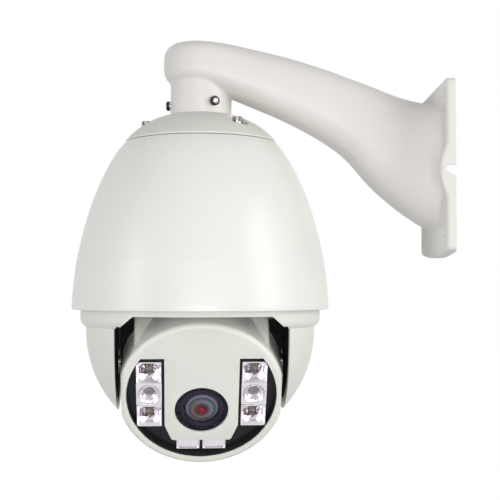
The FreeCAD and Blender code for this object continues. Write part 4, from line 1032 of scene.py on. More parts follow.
@dataclass(frozen=True)
class LensWithPaintedReflections(Finish):
    """A front element whose colour carries painted reflections: a dark red one at the heart, rings of violet
    and teal for the reflections of its coatings, cooler towards one side.
    """

    reach: str = "reach"
    swing: str = "swing"

    def build(self, effects: Effects) -> bpy.types.Material:
        """Builds the element's painted reflections from how far out and how far round a point lies.

        Args:
            effects: the shared surface effects.

        Returns:
            The material.
        """
        material, bench, shader = self.start()
        reach = bench.add("ShaderNodeAttribute", attribute_name=self.reach).outputs["Fac"]
        swing = bench.add("ShaderNodeAttribute", attribute_name=self.swing).outputs["Fac"]
        # Rings of colour that are painted reflections of the coatings and the elements behind
        rings = bench.ramp(reach, [
            (0.0, srgb(186, 22, 34)), (0.08, srgb(150, 20, 30)), (0.15, srgb(84, 26, 26)),
            (0.42, srgb(84, 50, 46)), (0.52, srgb(106, 90, 86)), (0.60, srgb(80, 70, 72)),
            (0.74, srgb(66, 60, 68)), (0.81, srgb(112, 110, 122)), (0.90, srgb(56, 50, 64)),
            (1.0, srgb(32, 30, 42)),
        ])
        # A cooler set of painted reflections, blended in towards one side
        painted_cool_reflections = bench.ramp(reach, [
            (0.0, srgb(186, 22, 34)), (0.14, srgb(66, 24, 34)), (0.34, srgb(60, 42, 60)),
            (0.50, srgb(112, 104, 114)), (0.64, srgb(74, 104, 106)), (0.74, srgb(54, 60, 70)),
            (0.83, srgb(110, 124, 122)), (0.92, srgb(80, 46, 92)), (1.0, srgb(28, 32, 46)),
        ])
        blend = bench.mixed("MIX", swing, rings, painted_cool_reflections)
        tone = effects.place(bench, "drift", Colour=blend, Amount=0.1, Scale=90.0)
        polish = effects.place(bench, "grain", Scale=1500.0, Rough=self.rough, Spread=0.02)
        bench.feed(shader, Base_Color=tone.outputs["Colour"], Roughness=polish.outputs["Roughness"])
        bench.feed(shader, Coat_Weight=0.6, Coat_Roughness=0.03, Coat_IOR=1.25, Metallic=0.15, IOR=1.2)
        return material


FINISHES: dict[str, Finish] = {
    "cast_paint": Painted("sprayed_casting", srgb(226, 223, 219), 0.42, grain=620.0, drift=0.05),
    "cap_paint": Painted("sprayed_cap", srgb(222, 222, 215), 0.45, grain=620.0),
    "bell_white": Painted("moulded_bell", srgb(234, 235, 229), 0.36, coat=0.1, grain=1100.0, depth=0.00002),
    "ear_white": Painted("moulded_ear", srgb(228, 228, 221), 0.4, grain=1100.0, depth=0.00003),
    "shell_white": Painted("moulded_head", srgb(238, 238, 231), 0.38, grain=1100.0, depth=0.00003),
    "rim_white": Painted("moulded_rim", srgb(238, 238, 231), 0.36, grain=1100.0),
    "steel": Metal("turned_steel", srgb(168, 166, 162), 0.28),
    "zinc_screw": Metal("plated_screw", srgb(200, 197, 192), 0.2, lines=1200.0),
    # Nearly black plating for the neck screws' rims and the cap screws' side strips: painted shade and
    # painted dark reflections on the screw heads
    "painted_shade_and_reflection_zinc": Metal("painted_shade_and_reflection_plating", srgb(58, 56, 54), 0.3, lines=1200.0, worn=(0.07, 0.07, 0.07, 1.0)),
    "aluminium": Metal("drawn_aluminium", srgb(188, 188, 186), 0.38, lines=300.0),
    "black_plastic": Plain("black_moulding", srgb(30, 29, 30), 0.5, ior=1.25),
    "bezel_violet": Plain("dark_bezel", srgb(40, 35, 48), 0.45, ior=1.2),
    "die_cap": Plain("smoked_die_cap", srgb(150, 140, 128), 0.3),
    "panel_black": Plain("smoked_panel", srgb(34, 35, 38), 0.2, grain=2200.0, depth=0.00001, ior=1.25),
    "rubber": Plain("grey_rubber", srgb(88, 86, 82), 0.8, sheen=0.2),
    "board_green": Circuit("masked_board", srgb(28, 96, 58), 0.35),
    "component": Plain("moulded_component", srgb(44, 44, 48), 0.5),
    "lamp_chrome": Metal("plated_reflector", srgb(220, 215, 221), 0.2, lines=900.0, spread=0.08),
    "lamp_clear": Clear("moulded_lens", srgb(244, 243, 246), 0.08, ior=1.2, through=0.9),
    "emitter": Emitter("infrared_die", srgb(178, 166, 142), 0.4),
    "glass": Clear("cover_glass", srgb(250, 250, 252), 0.02, ior=1.1),
    "lens_glass": LensWithPaintedReflections("element_with_painted_reflections", srgb(60, 40, 60), 0.08),
}


@dataclass
class Finishes:
    """Builds each finish once and puts it on pieces."""

    effects: Effects
    made: dict[str, bpy.types.Material] = field(default_factory=dict)

    def named(self, slot: str) -> bpy.types.Material:
        """The material of that name, built when first asked for.

        Args:
            slot: the finish's name.

        Returns:
            The material.
        """
        if slot not in self.made:
            self.made[slot] = FINISHES[slot].build(self.effects)
        return self.made[slot]

    def dress(self, piece: bpy.types.Object, slot: str) -> None:
        """Puts a finish on every face of a piece."""
        piece.data.materials.clear()
        piece.data.materials.append(self.named(slot))

    def dress_frame(self, nodes: dict, slots: dict[str, str]) -> None:
        """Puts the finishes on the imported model's own nodes.

        Args:
            nodes: the frame's node objects.
            slots: the slot of each node.
        """
        for name, node in nodes.items():
            slot = slots.get(name, "black_plastic")
            if not node.material_slots:
                node.data.materials.append(self.named(slot))
            for place in node.material_slots:
                place.material = self.named(slot)


# ---- Putting pieces into the model ----
@dataclass
class Workshop:
    """Carries drawn pieces into the frame, dresses them and hangs them on their bodies."""

    places: Places
    finishes: Finishes

    def fit(
        self, piece: bpy.types.Object, drawn: Drawn, body: Body, slot: str, *nodes: str
    ) -> bpy.types.Object:
        """Puts one piece into the model.

        Args:
            piece: the object, drawn in millimetres.
            drawn: the frame it is drawn in.
            body: the body it rides on.
            slot: its finish.
            nodes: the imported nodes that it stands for.

        Returns:
            The object in place.
        """
        shifted(piece, self.places.frames[drawn])
        self.finishes.dress(piece, slot)
        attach(piece, body.value)
        if nodes:
            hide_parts(*nodes)
        log.info("%s: %d faces, on %s", piece.name, len(piece.data.polygons), body.value)
        return piece


def in_mm(node: str) -> tuple[Vector, Vector]:
    """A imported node's lowest and highest corners in millimetres."""
    low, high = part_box(node)
    return low / MM, high / MM


def between(rows: Sequence[Sequence[float]], steps: int) -> list[list[float]]:
    """Rows of numbers with smooth steps put between them.

    Args:
        rows: the rows to pass through.
        steps: how many spans each gap is cut into.

    Returns:
        The longer list, ends included.
    """
    last = len(rows) - 1
    result = []
    for i in range(last):
        p = [rows[max(0, min(last, i + k))] for k in (-1, 0, 1, 2)]
        for k in range(steps):
            t = k / steps
            weights = (
                (-t**3 + 2 * t**2 - t) / 2,
                (3 * t**3 - 5 * t**2 + 2) / 2,
                (-3 * t**3 + 4 * t**2 + t) / 2,
                (t**3 - t**2) / 2,
            )
            result.append([sum(w * q[c] for w, q in zip(weights, p)) for c in range(len(rows[0]))])
    return result + [list(rows[last])]


def cylinder(
    name: str, radius: float, low: float, high: float, axis: Axis = Axis.Z, around: int = 64
) -> bpy.types.Object:
    """A plain rod, for cutting with or building up from."""
    return lathe(name, [(0, low), (radius, low), (radius, high), (0, high)], axis, around)


def block(name: str, x: tuple, y: tuple, z: tuple, radius: float = 0.0) -> bpy.types.Object:
    """A block between two values on each axis, its upright edges rounded by the radius."""
    return prism(name, rectangle(x[0], x[1], y[0], y[1], radius), z[0], z[1])


# ---- Wall bracket ----
@dataclass
class CastBracket:
    """The gooseneck casting: wall plate, hollow arm and neck, with cast fillets where they meet."""

    shop: Workshop
    reach: float
    mounts: list[dict]
    thick: float = 8.0
    wall: float = 3.5
    rim: float = 5.0
    arch: float = 4.5
    corner: float = 5.0
    bolt_hole: float = 7.6
    boss: float = 9.0
    notch: tuple = ((-8.2, 0.4), (6.0, 0.4), (6.0, -13.9), (0.0, -9.9), (-8.2, -4.4))
    notch_corner: float = 1.8
    bulge: float = 21.5
    bulge_rise: float = 5.7
    bulge_z: float = -4.0
    past_wall: float = 4.0
    arm_wall: float = 5.0
    mouth_power: float = 0.62
    neck: float = 27.5
    bore: float = 21.2
    neck_foot: float = 51.0
    neck_top: float = 92.0
    voxel: float = 1.15
    flow: tuple = (0.5, 9)
    section: int = 56
    screw_angles: tuple = (26.7, 146.7, 266.7)
    screw_z: float = 61.0
    screw_hole: float = 5.0
    earth_hole: float = 4.0
    # distance from the wall, top, bottom, half width, squareness
    stations: tuple = (
        (6.0, 60.0, -54.0, 46.0, 3.2), (12.0, 61.0, -50.5, 41.5, 3.2), (21.5, 61.9, -46.0, 38.5, 3.1),
        (43.0, 68.0, -31.0, 34.5, 3.0), (64.5, 77.0, -12.1, 31.5, 2.9), (86.0, 85.1, 12.2, 29.5, 2.8),
        (107.5, 93.2, 28.4, 28.5, 2.7), (140.0, 103.1, 46.4, 28.5, 2.7), (172.5, 110.6, 60.8, 30.4, 2.8),
        (198.0, 115.3, 71.5, 32.6, 3.1),
    )
    tip: tuple = (117.0, 77.4, 33.6, 3.3)

    def rows(self, inset: float) -> list[list[float]]:
        """Arm sections from the plate to past the neck's axis, moved in by the inset.

        Args:
            inset: how far the skin is moved in.

        Returns:
            Rows of distance from the wall, top, bottom, half width and squareness.
        """
        last = (self.reach, *self.tip)
        path = between([*self.stations, last], 5)
        rows = [[r, t - inset, b + inset, h - inset, p] for r, t, b, h, p in path]
        top, bottom, half, power = self.tip
        middle, rise, radius = (top + bottom) / 2, (top - bottom) / 2 - inset, half - inset
        for angle in (10, 20, 30, 40, 49, 57, 64, 70, 75, 79.5, 83, 86):
            past = math.sin(math.radians(angle))
            high = rise * (1 - past**power) ** (1 / power)
            wide = radius * math.cos(math.radians(angle))
            rows.append([self.reach + radius * past, middle + high, middle - high, wide, power])
        return rows

    def arm(self, name: str, inset: float) -> bpy.types.Object:
        """The arm's solid, its skin moved in by the inset.

        Args:
            name: the object's name.
            inset: how far its skin is moved in.

        Returns:
            The object.
        """
        rings = []
        for reach, top, bottom, half, power in self.rows(inset):
            ring = []
            for k in range(self.section):
                across, up = squared_off(2 * math.pi * k / self.section, 2 / power)
                ring.append((-reach, across * half, up * (top - bottom) / 2 + (top + bottom) / 2))
            rings.append(ring)
        return loft(name, rings)

    def plate_outline(self, inset: float) -> Profile:
        """The plate's outline in Y and Z, with its bottom edge bowed down.

        Args:
            inset: how far the outline is moved in.

        Returns:
            The outline's points.
        """
        low, high = in_mm("wall_plate")
        half, top = (high.y - low.y) / 2 - inset, high.z - inset
        foot = low.z + self.arch + inset
        steps = [1 - 2 * k / 12 for k in range(1, 12)]
        bow = [(half * t, foot - self.arch * (1 - t**2)) for t in steps]
        points = [(half, top), (half, foot), *bow, (-half, foot), (-half, top)]
        radius = max(1.0, self.corner - inset)
        return rounded(points, [radius, radius] + [0.0] * len(bow) + [radius, radius])

    def bolts(self) -> list[tuple[float, float]]:
        """The bolt holes' places in Y and Z, from the record's mount.

        Returns:
            The places of the four holes.
        """
        dims = next(m["dims"] for m in self.mounts if m["kind"] == "bolt_pattern")
        across, up = dims["spacing_x_mm"] / 2, dims["spacing_y_mm"] / 2
        return [(sy * across, sz * up) for sy in (-1, 1) for sz in (-1, 1)]

    def swelling(self, name: str, inset: float) -> bpy.types.Object:
        """The domed swelling over the cable notch, its skin moved in by the inset.

        Args:
            name: the object's name.
            inset: how far its skin is moved in.

        Returns:
            The object.
        """
        ball = (self.bulge**2 + self.bulge_rise**2) / (2 * self.bulge_rise) - inset
        top, reach = -self.thick - self.bulge_rise + inset, self.bulge - inset
        low, _ = in_mm("wall_plate")
        outline = [*bowed(reach, ball, top, 16), (reach, self.past_wall), (0, self.past_wall)]
        ball_end = lathe(name, outline, Axis.X, 96)
        return moved(ball_end, 0, low.y, self.bulge_z)

    def outside(self) -> bpy.types.Object:
        """The casting's outer skin, solid, with its fillets flowed in.

        Returns:
            The object.
        """
        low, _ = in_mm("wall_plate")
        plate = prism("cast_bracket", self.plate_outline(0), -self.thick, self.past_wall, Axis.X)
        bulge = self.swelling("bulge", 0)
        cut(bulge, [block("past_edge", (-60, 60), (low.y - 60, low.y), (-60, 60))])
        neck = moved(cylinder("neck", self.neck, self.neck_foot - 6, self.neck_top), -self.reach, 0, 0)
        unite(plate, [bulge, neck, self.arm("arm", 0)])
        skin = plate.modifiers.new("skin", "REMESH")
        skin.mode, skin.voxel_size, skin.adaptivity = "VOXEL", self.voxel, 0.0
        flow = plate.modifiers.new("flow", "SMOOTH")
        flow.factor, flow.iterations = self.flow
        return settle(plate)

    def hollows(self) -> list[bpy.types.Object]:
        """Everything cut from the casting: the hollow arm, the pocket behind the plate, bores and holes.

        Returns:
            The objects to cut with.
        """
        low, _ = in_mm("wall_plate")
        pocket = prism("pocket", self.plate_outline(self.rim), -self.thick + self.wall, 6.0, Axis.X)
        bosses = [moved(cylinder("boss", self.boss, -20, 20, Axis.X), 0, y, z) for y, z in self.bolts()]
        cut(pocket, bosses)
        wall_side = block("wall_side", (0, 30), (-120, 120), (-120, 120))
        bore = moved(cylinder("bore", self.bore, self.neck_foot - 20, self.neck_top - 2), -self.reach, 0, 0)
        under = cylinder("under", self.neck + 8, self.neck_foot - 20, self.neck_foot)
        moved(under, -self.reach, 0, 0)
        hollow = self.arm("hollow", self.arm_wall)
        first = self.rows(self.arm_wall)[0]
        middle, rise = (first[1] + first[2]) / 2, (first[1] - first[2]) / 2
        spots = [squared_off(2 * math.pi * k / 64, self.mouth_power) for k in range(64)]
        mouth = [(first[3] * across, middle + rise * up) for across, up in spots]
        opening = prism("mouth", mouth, -self.thick - 0.5, 6.0, Axis.X)
        room = self.swelling("room", 3)
        cut(room, [block("rim", (-60, 60), (low.y - 60, low.y + self.rim), (-60, 60))])
        radii = [self.notch_corner, 0, 0, 0, self.notch_corner]
        notch = prism("notch", rounded(list(self.notch), radii, 6), low.y - 4, low.y + self.rim + 2, Axis.Y)
        holes = []
        for y, z in self.bolts():
            holes.append(moved(cylinder("bolt", self.bolt_hole / 2, -30, 10, Axis.X, 40), 0, y, z))
            mouth_r, hole_r = self.bolt_hole / 2 + 1.2, self.bolt_hole / 2 - 0.2
            seat = lathe("seat", [(0, -9), (mouth_r, -9), (hole_r, -7), (0, -7)], Axis.X, 40)
            holes.append(moved(seat, 0, y, z))
        for angle in self.screw_angles:
            hole = cylinder("screw", self.screw_hole / 2, -self.neck - 2, -self.bore + 1, Axis.Y, 32)
            holes.append(moved(turned(moved(hole, 0, 0, self.screw_z), angle, Axis.Z), -self.reach, 0, 0))
        earth = moved(cylinder("earth", self.earth_hole / 2, -20, 5, Axis.X, 24), 0, *self.earth())
        return [wall_side, under, bore, hollow, opening, pocket, room, notch, earth, *holes]

    def earth(self) -> tuple[float, float]:
        """The earth screw's place in Y and Z."""
        low, high = in_mm("earth_screw")
        return (low.y + high.y) / 2, (low.z + high.z) / 2

    def build(self) -> None:
        """Builds the casting and its neck screws."""
        casting = cut(self.outside(), self.hollows())
        smooth(casting, 35)
        self.shop.fit(casting, Drawn.WALL, Body.BRACKET, "cast_paint", "wall_plate", "gooseneck_arm")
        # Each neck screw gets a dark rim over its head's edge: painted shade round the head
        screws, painted_shade_rims = [], []
        kind = SocketScrew(radius=4.25, height=3.4, hexagon=1.5, shank=2.5, bevel=2.2)
        for angle in self.screw_angles:
            for piece, row in ((kind.draw("neck_screw"), screws), (kind.rim("neck_screw_painted_shade_rim"), painted_shade_rims)):
                moved(turned(piece, 90, Axis.X), 0, -self.neck - 0.6, self.screw_z)
                row.append(turned(piece, angle, Axis.Z))
        self.shop.fit(gather("neck_screw_set", screws), Drawn.DOME, Body.BRACKET, "zinc_screw", "neck_screws")
        self.shop.fit(gather("neck_screw_painted_shade_set", painted_shade_rims), Drawn.DOME, Body.BRACKET, "painted_shade_and_reflection_zinc")


@dataclass
class SocketScrew:
    """A knurled socket-head screw, its head standing on z = 0."""

    radius: float
    height: float
    hexagon: float
    shank: float
    length: float = 6.0
    bevel: float = 0.55
    knurls: int = 28
    knurl_in: float = 0.98
    skin: float = 0.05
    reflection_strip_wide: float = 1.9
    reflection_strip_skin: float = 0.06

    def draw(self, name: str) -> bpy.types.Object:
        """The screw, in millimetres.

        Args:
            name: the object's name.

        Returns:
            The object.
        """
        r, h = self.radius, self.height
        foot, shank = -self.length, self.shank
        corners = [(0, foot), (shank, foot), (shank, 0), (r, 0), (r, h), (0, h)]
        outline = rounded(corners, [0, 0.5, 0, 0.25, self.bevel, 0], 5)
        screw = lathe(name, outline, Axis.Z, self.knurls * 2)
        for v in screw.data.vertices:
            reach = math.hypot(v.co.x, v.co.y)
            step = round(math.atan2(v.co.y, v.co.x) * self.knurls / math.pi)
            if reach > r * 0.97 and 0.5 < v.co.z < h * 0.8 and step % 2:
                v.co.x, v.co.y = v.co.x * self.knurl_in, v.co.y * self.knurl_in
        six_r = self.hexagon
        six = [(six_r * math.cos(a), six_r * math.sin(a)) for a in (math.pi * k / 3 for k in range(6))]
        cone = [(0, h - 0.5), (six_r * 0.9, h - 0.5), (six_r + 0.45, h + 0.1), (0, h + 0.1)]
        mouth = lathe("mouth", cone, Axis.Z, 36)
        cut(screw, [prism("socket", six, h * 0.4, h + 1), mouth])
        return smooth(screw, 30)

    def rim(self, name: str) -> bpy.types.Object:
        """A dark skin over the head's rounded edge: painted shade round the head.

        Args:
            name: the object's name.

        Returns:
            The object.
        """
        r, h, inner = self.radius + self.skin, self.height + self.skin, self.radius - self.bevel
        outline = [(inner, h - 0.6), (inner, h), (r, h), (r, 0.3), (r - 0.6, 0.3), (r - 0.6, h - self.bevel)]
        return smooth(lathe(name, rounded(outline, [0, 0, self.bevel, 0, 0, 0], 6), Axis.Z, 48), 30)

    def painted_reflection_strips(self, name: str) -> bpy.types.Object:
        """Six dark strips down the head's side: painted reflections, the dark stripes that a bright head
        shows along its side.

        Args:
            name: the object's name.

        Returns:
            The object.
        """
        r, strips = self.radius, []
        half = self.reflection_strip_wide / 2
        for k in range(6):
            strip = block("painted_reflection_strip", (r - 0.6, r + self.reflection_strip_skin), (-half, half), (0.4, self.height - 0.5))
            strips.append(turned(strip, 60.0 * k, Axis.Z))
        return gather(name, strips)


# ---- Top cap and bell ----
@dataclass
class Dome:
    """The cap under the neck and the bell that hangs from it, with their screws."""

    shop: Workshop
    cap_top: float = 29.0
    cap_high: float = 51.0
    cap_mid: tuple = (51.2, 42.0)
    cap_edge: tuple = (67.6, 27.8)
    cap_foot: float = 26.5
    cap_wall: float = 3.5
    spigot: tuple = (15.0, 21.0, 80.0)
    screw_r: float = 49.5
    screw_angles: tuple = (42.0, 162.0, 282.0)
    seat_z: float = 37.5
    seat_r: float = 9.5
    seat_wall: float = 2.0
    screw_hole: float = 5.4
    washers: float = 2.4
    # radius and height of the bell's skin, from the cap's brim down to the crease, then its skirt
    upper: tuple = (
        (68.2, 25.7), (74.2, 18.6), (82.6, 5.0), (92.7, -16.6),
        (100.3, -38.1), (106.1, -59.4), (110.8, -80.8),
    )
    skirt: tuple = ((110.8, -80.8), (113.1, -101.0), (114.5, -117.6))
    wall: float = 3.0
    flange: float = 42.0

    def crown(self) -> Profile:
        """The cap's domed outline from its top edge to its brim, as one arc.

        Returns:
            The outline's points.
        """
        (x0, y0), (x1, y1), (x2, y2) = (self.cap_top, self.cap_high), self.cap_mid, self.cap_edge
        d = 2 * (x0 * (y1 - y2) + x1 * (y2 - y0) + x2 * (y0 - y1))
        s0, s1, s2 = x0 * x0 + y0 * y0, x1 * x1 + y1 * y1, x2 * x2 + y2 * y2
        cx = (s0 * (y1 - y2) + s1 * (y2 - y0) + s2 * (y0 - y1)) / d
        cy = (s0 * (x2 - x1) + s1 * (x0 - x2) + s2 * (x1 - x0)) / d
        radius = math.hypot(x0 - cx, y0 - cy)
        a, b = math.atan2(y0 - cy, x0 - cx), math.atan2(y2 - cy, x2 - cx)
        return [(cx + radius * math.cos(a + (b - a) * k / 28), cy + radius * math.sin(a + (b - a) * k / 28))
                for k in range(29)]

    def cap(self) -> None:
        """The cap, with a pocket cut down to a flat seat for each screw."""
        arc = self.crown()
        inner_r, outer_r, top = self.spigot
        inside = [(r - self.cap_wall * 0.7, z - self.cap_wall * 0.8) for r, z in reversed(arc)]
        outline = [(inner_r, top), (outer_r, top), (outer_r, self.cap_high), *arc]
        brim = self.cap_edge[0]
        outline += [(brim - 0.3, self.cap_foot), (brim - self.cap_wall, self.cap_foot)]
        outline += inside[1:] + [(inner_r, inside[-1][1])]
        cap = lathe("top_cap_shell", outline, Axis.Z, 160)
        low, under = self.cap_foot + 1.0, [(r - 0.2, z - 0.3) for r, z in reversed(arc)]
        solid = [(0, low), (brim - 1.5, low), *under, (0, under[-1][1])]
        seats, cuts = [], []
        for angle in self.screw_angles:
            x, y = at_angle(angle, self.screw_r)
            seat = moved(cylinder("seat", self.seat_r + self.seat_wall, 28.5, 60, Axis.Z, 64), x, y, 0)
            seats.append(combine(seat, [lathe("under_crown", solid, Axis.Z, 160)], "INTERSECT"))
            corners = [(0, self.seat_z), (self.seat_r, self.seat_z), (self.seat_r, 70), (0, 70)]
            pocket = lathe("pocket", rounded(corners, [0, 0.8, 0, 0], 4), Axis.Z, 64)
            cuts.append(moved(pocket, x, y, 0))
            cuts.append(moved(cylinder("hole", self.screw_hole / 2, 20, 50, Axis.Z, 24), x, y, 0))
        cut(unite(cap, seats), cuts)
        self.shop.fit(smooth(cap, 28), Drawn.DOME, Body.BRACKET, "cap_paint", "top_cap")

    def fasteners(self) -> None:
        """The cap screws on their flat and split washers."""
        screws, painted_reflection_strips, washers = [], [], []
        flat = rounded([(2.7, 0), (5.4, 0), (5.4, 1.0), (2.7, 1.0)], [0.1, 0.3, 0.3, 0.1], 2)
        split = rounded([(2.7, 1.0), (4.6, 1.0), (4.6, 2.4), (2.7, 2.4)], [0.1, 0.25, 0.25, 0.1], 2)
        kind = SocketScrew(radius=4.25, height=5.2, hexagon=2.45, shank=2.5, length=12.0)
        head_z = self.seat_z + self.washers
        for index, angle in enumerate(self.screw_angles):
            x, y = at_angle(angle, self.screw_r)
            screws.append(moved(turned(kind.draw("screw"), 17.0 * index, Axis.Z), x, y, head_z))
            painted_reflection_strips.append(moved(kind.painted_reflection_strips("painted_reflection_strips"), x, y, head_z))
            washers.append(moved(lathe("flat", flat, Axis.Z, 48), x, y, self.seat_z))
            ring = lathe("split", split, Axis.Z, 48)
            cut(ring, [block("gap", (2, 6), (-0.45, 0.45), (0, 4))])
            washers.append(moved(turned(ring, 40 + 110.0 * index, Axis.Z), x, y, self.seat_z))
        self.shop.fit(gather("cap_screw_set", screws), Drawn.DOME, Body.BRACKET, "zinc_screw", "cap_screws")
        # The dark strips on the cap screws' sides are painted reflections
        self.shop.fit(gather("cap_screw_painted_reflection_set", painted_reflection_strips), Drawn.DOME, Body.BRACKET, "painted_shade_and_reflection_zinc")
        rings = smooth(gather("cap_washer_set", washers), 30)
        self.shop.fit(rings, Drawn.DOME, Body.BRACKET, "steel", "cap_washers")

    def bell(self) -> None:
        """The bell: a flowing upper skin, a crease, a straight skirt and a rolled lower edge."""
        low = in_mm("bell_housing")[0].z
        upper, skirt = flowing(list(self.upper), 10), flowing(list(self.skirt), 12)
        outer = upper + skirt[1:]
        inner = inset_by(upper, self.wall)[2:] + inset_by(skirt, self.wall)[1:]
        edge, end = self.skirt[-1]
        lip = [(edge, end - 0.5), (edge, low), (edge - self.wall, low), (edge - self.wall, end)]
        rolled = rounded(lip, [0, 1.1, 0.9, 0], 5)
        top = self.upper[0][1]
        ceiling = top - self.wall
        outline = [(self.flange, top), (self.upper[0][0] - 0.8, top)] + outer + rolled
        outline += list(reversed(inner)) + [(inner[0][0] - 3, ceiling), (self.flange, ceiling)]
        bell = lathe("bell_shell", outline, Axis.Z, 256)
        self.shop.fit(smooth(bell, 24), Drawn.DOME, Body.BRACKET, "bell_white", "bell_housing")

    def build(self) -> None:
        """Builds the cap, its screws and the bell."""
        self.cap()
        self.fasteners()
        self.bell()


# ---- Pan collar and ears ----
@dataclass
class PanFork:
    """The collar that closes the bell and the two ears that hold the head."""

    shop: Workshop
    collar_r: float = 106.8
    lip_r: float = 102.6
    top: float = -117.0
    edge: float = -132.0
    foot: float = -137.3
    wall: float = 3.0
    window_top: float = -127.0
    window_half: tuple = (57.0, 69.0)
    frame_room: float = 32.2
    belt_room: tuple = (88.0, 20.0)
    inner_x: float = 73.0
    frame_out: float = 78.0
    ear_r: float = 101.7
    ear_z: float = -140.8
    ear_wall: float = 2.6
    gap: float = 0.2

    def collar(self) -> None:
        """The collar ring with its floor, the wedge-ended window and the well for the head."""
        r, w = self.collar_r, self.wall
        edge, foot = self.edge, self.foot
        turns = [(r, edge), (r - 1.0, edge - 2.2), (r - 2.7, foot + 1.1), (self.lip_r, foot)]
        shoulder = flowing(turns, 5)
        outline = [(0, self.top), (r - 0.4, self.top), (r, self.top - 0.4), *shoulder]
        outline += [(self.lip_r - w, self.foot), (r - w, self.edge), (r - w, self.top - w), (0, self.top - w)]
        collar = lathe("pan_collar_shell", outline, Axis.Z, 256)
        low = self.foot - 1
        half, wide = self.window_half
        wide += (wide - half) / (self.window_top - self.foot)
        wedge = [(-half, self.window_top), (half, self.window_top), (wide, low), (-wide, low)]
        tools = [prism("window", rounded(wedge, [1.6, 1.6, 0, 0], 5), -150, 0, Axis.Y)]
        well = self.inner_x - 1.5
        tools.append(block("well", (-well, well), (-80, 80), (-140, self.top + 1), 6))
        frame_deep, (belt_out, belt_deep) = self.frame_room, self.belt_room
        rooms = ((self.inner_x - 2.5, self.frame_out + 0.3, frame_deep), (self.inner_x, belt_out, belt_deep))
        for s in (-1, 1):
            for near, far, deep in rooms:
                x = tuple(sorted((s * near, s * far)))
                tools.append(block("room", x, (-deep, deep), (self.top - w - 1, self.top + 1)))
        eased(cut(collar, tools), 0.5, 2, 40)
        self.shop.fit(smooth(collar, 30), Drawn.PAN, Body.YOKE, "ear_white", "pan_collar")

    def ear(self, side: int, name: str, node: str) -> None:
        """One ear: a slice of a hollow ball, with a web round the side frame's disc.

        Args:
            side: -1 for the left ear and 1 for the right.
            name: the object's name.
            node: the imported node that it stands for.
        """
        outer, inner = self.ear_r, self.ear_r - self.ear_wall
        disc = math.sqrt(inner**2 - self.frame_out**2) - self.gap
        x0, x1 = self.inner_x, self.inner_x + self.ear_wall
        first = math.acos(x0 / outer)
        turns = [first * (1 - k / 40) for k in range(41)]
        skin = [(outer * math.sin(t), outer * math.cos(t)) for t in turns]
        last = math.acos(x1 / inner)
        lining = [(inner * math.sin(last * k / 32), inner * math.cos(last * k / 32)) for k in range(33)]
        ear = lathe(name, skin + lining + [(disc, x1), (disc, x0)], Axis.X, 192)
        moved(ear, 0, 0, self.ear_z)
        cut(ear, [block("above", (-200, 200), (-200, 200), (self.foot + 0.05, 200))])
        eased(ear, 0.7, 3, 40)
        if side < 0:
            turned(ear, 180, Axis.Z)
        self.shop.fit(smooth(ear, 30), Drawn.PAN, Body.YOKE, "ear_white", node)

    def throat(self) -> None:
        """The ears' upper stubs, which reach up inside the collar."""
        outer = self.lip_r - self.wall - 0.6
        inner = outer - self.ear_wall
        low, high = self.foot - 0.6, self.top - self.wall
        outline = [(outer, low), (outer, high), (inner, high), (inner, low)]
        ring = lathe("ear_throat_set", outline, Axis.Z, 160)
        cut(ring, [block("between", (-self.inner_x, self.inner_x), (-200, 200), (-200, 0))])
        self.shop.fit(smooth(ring, 30), Drawn.PAN, Body.YOKE, "ear_white")

    def build(self) -> None:
        """Builds the collar and the ears."""
        self.collar()
        self.ear(-1, "left_ear_shell", "left_ear")
        self.ear(1, "right_ear_shell", "right_ear")
        self.throat()


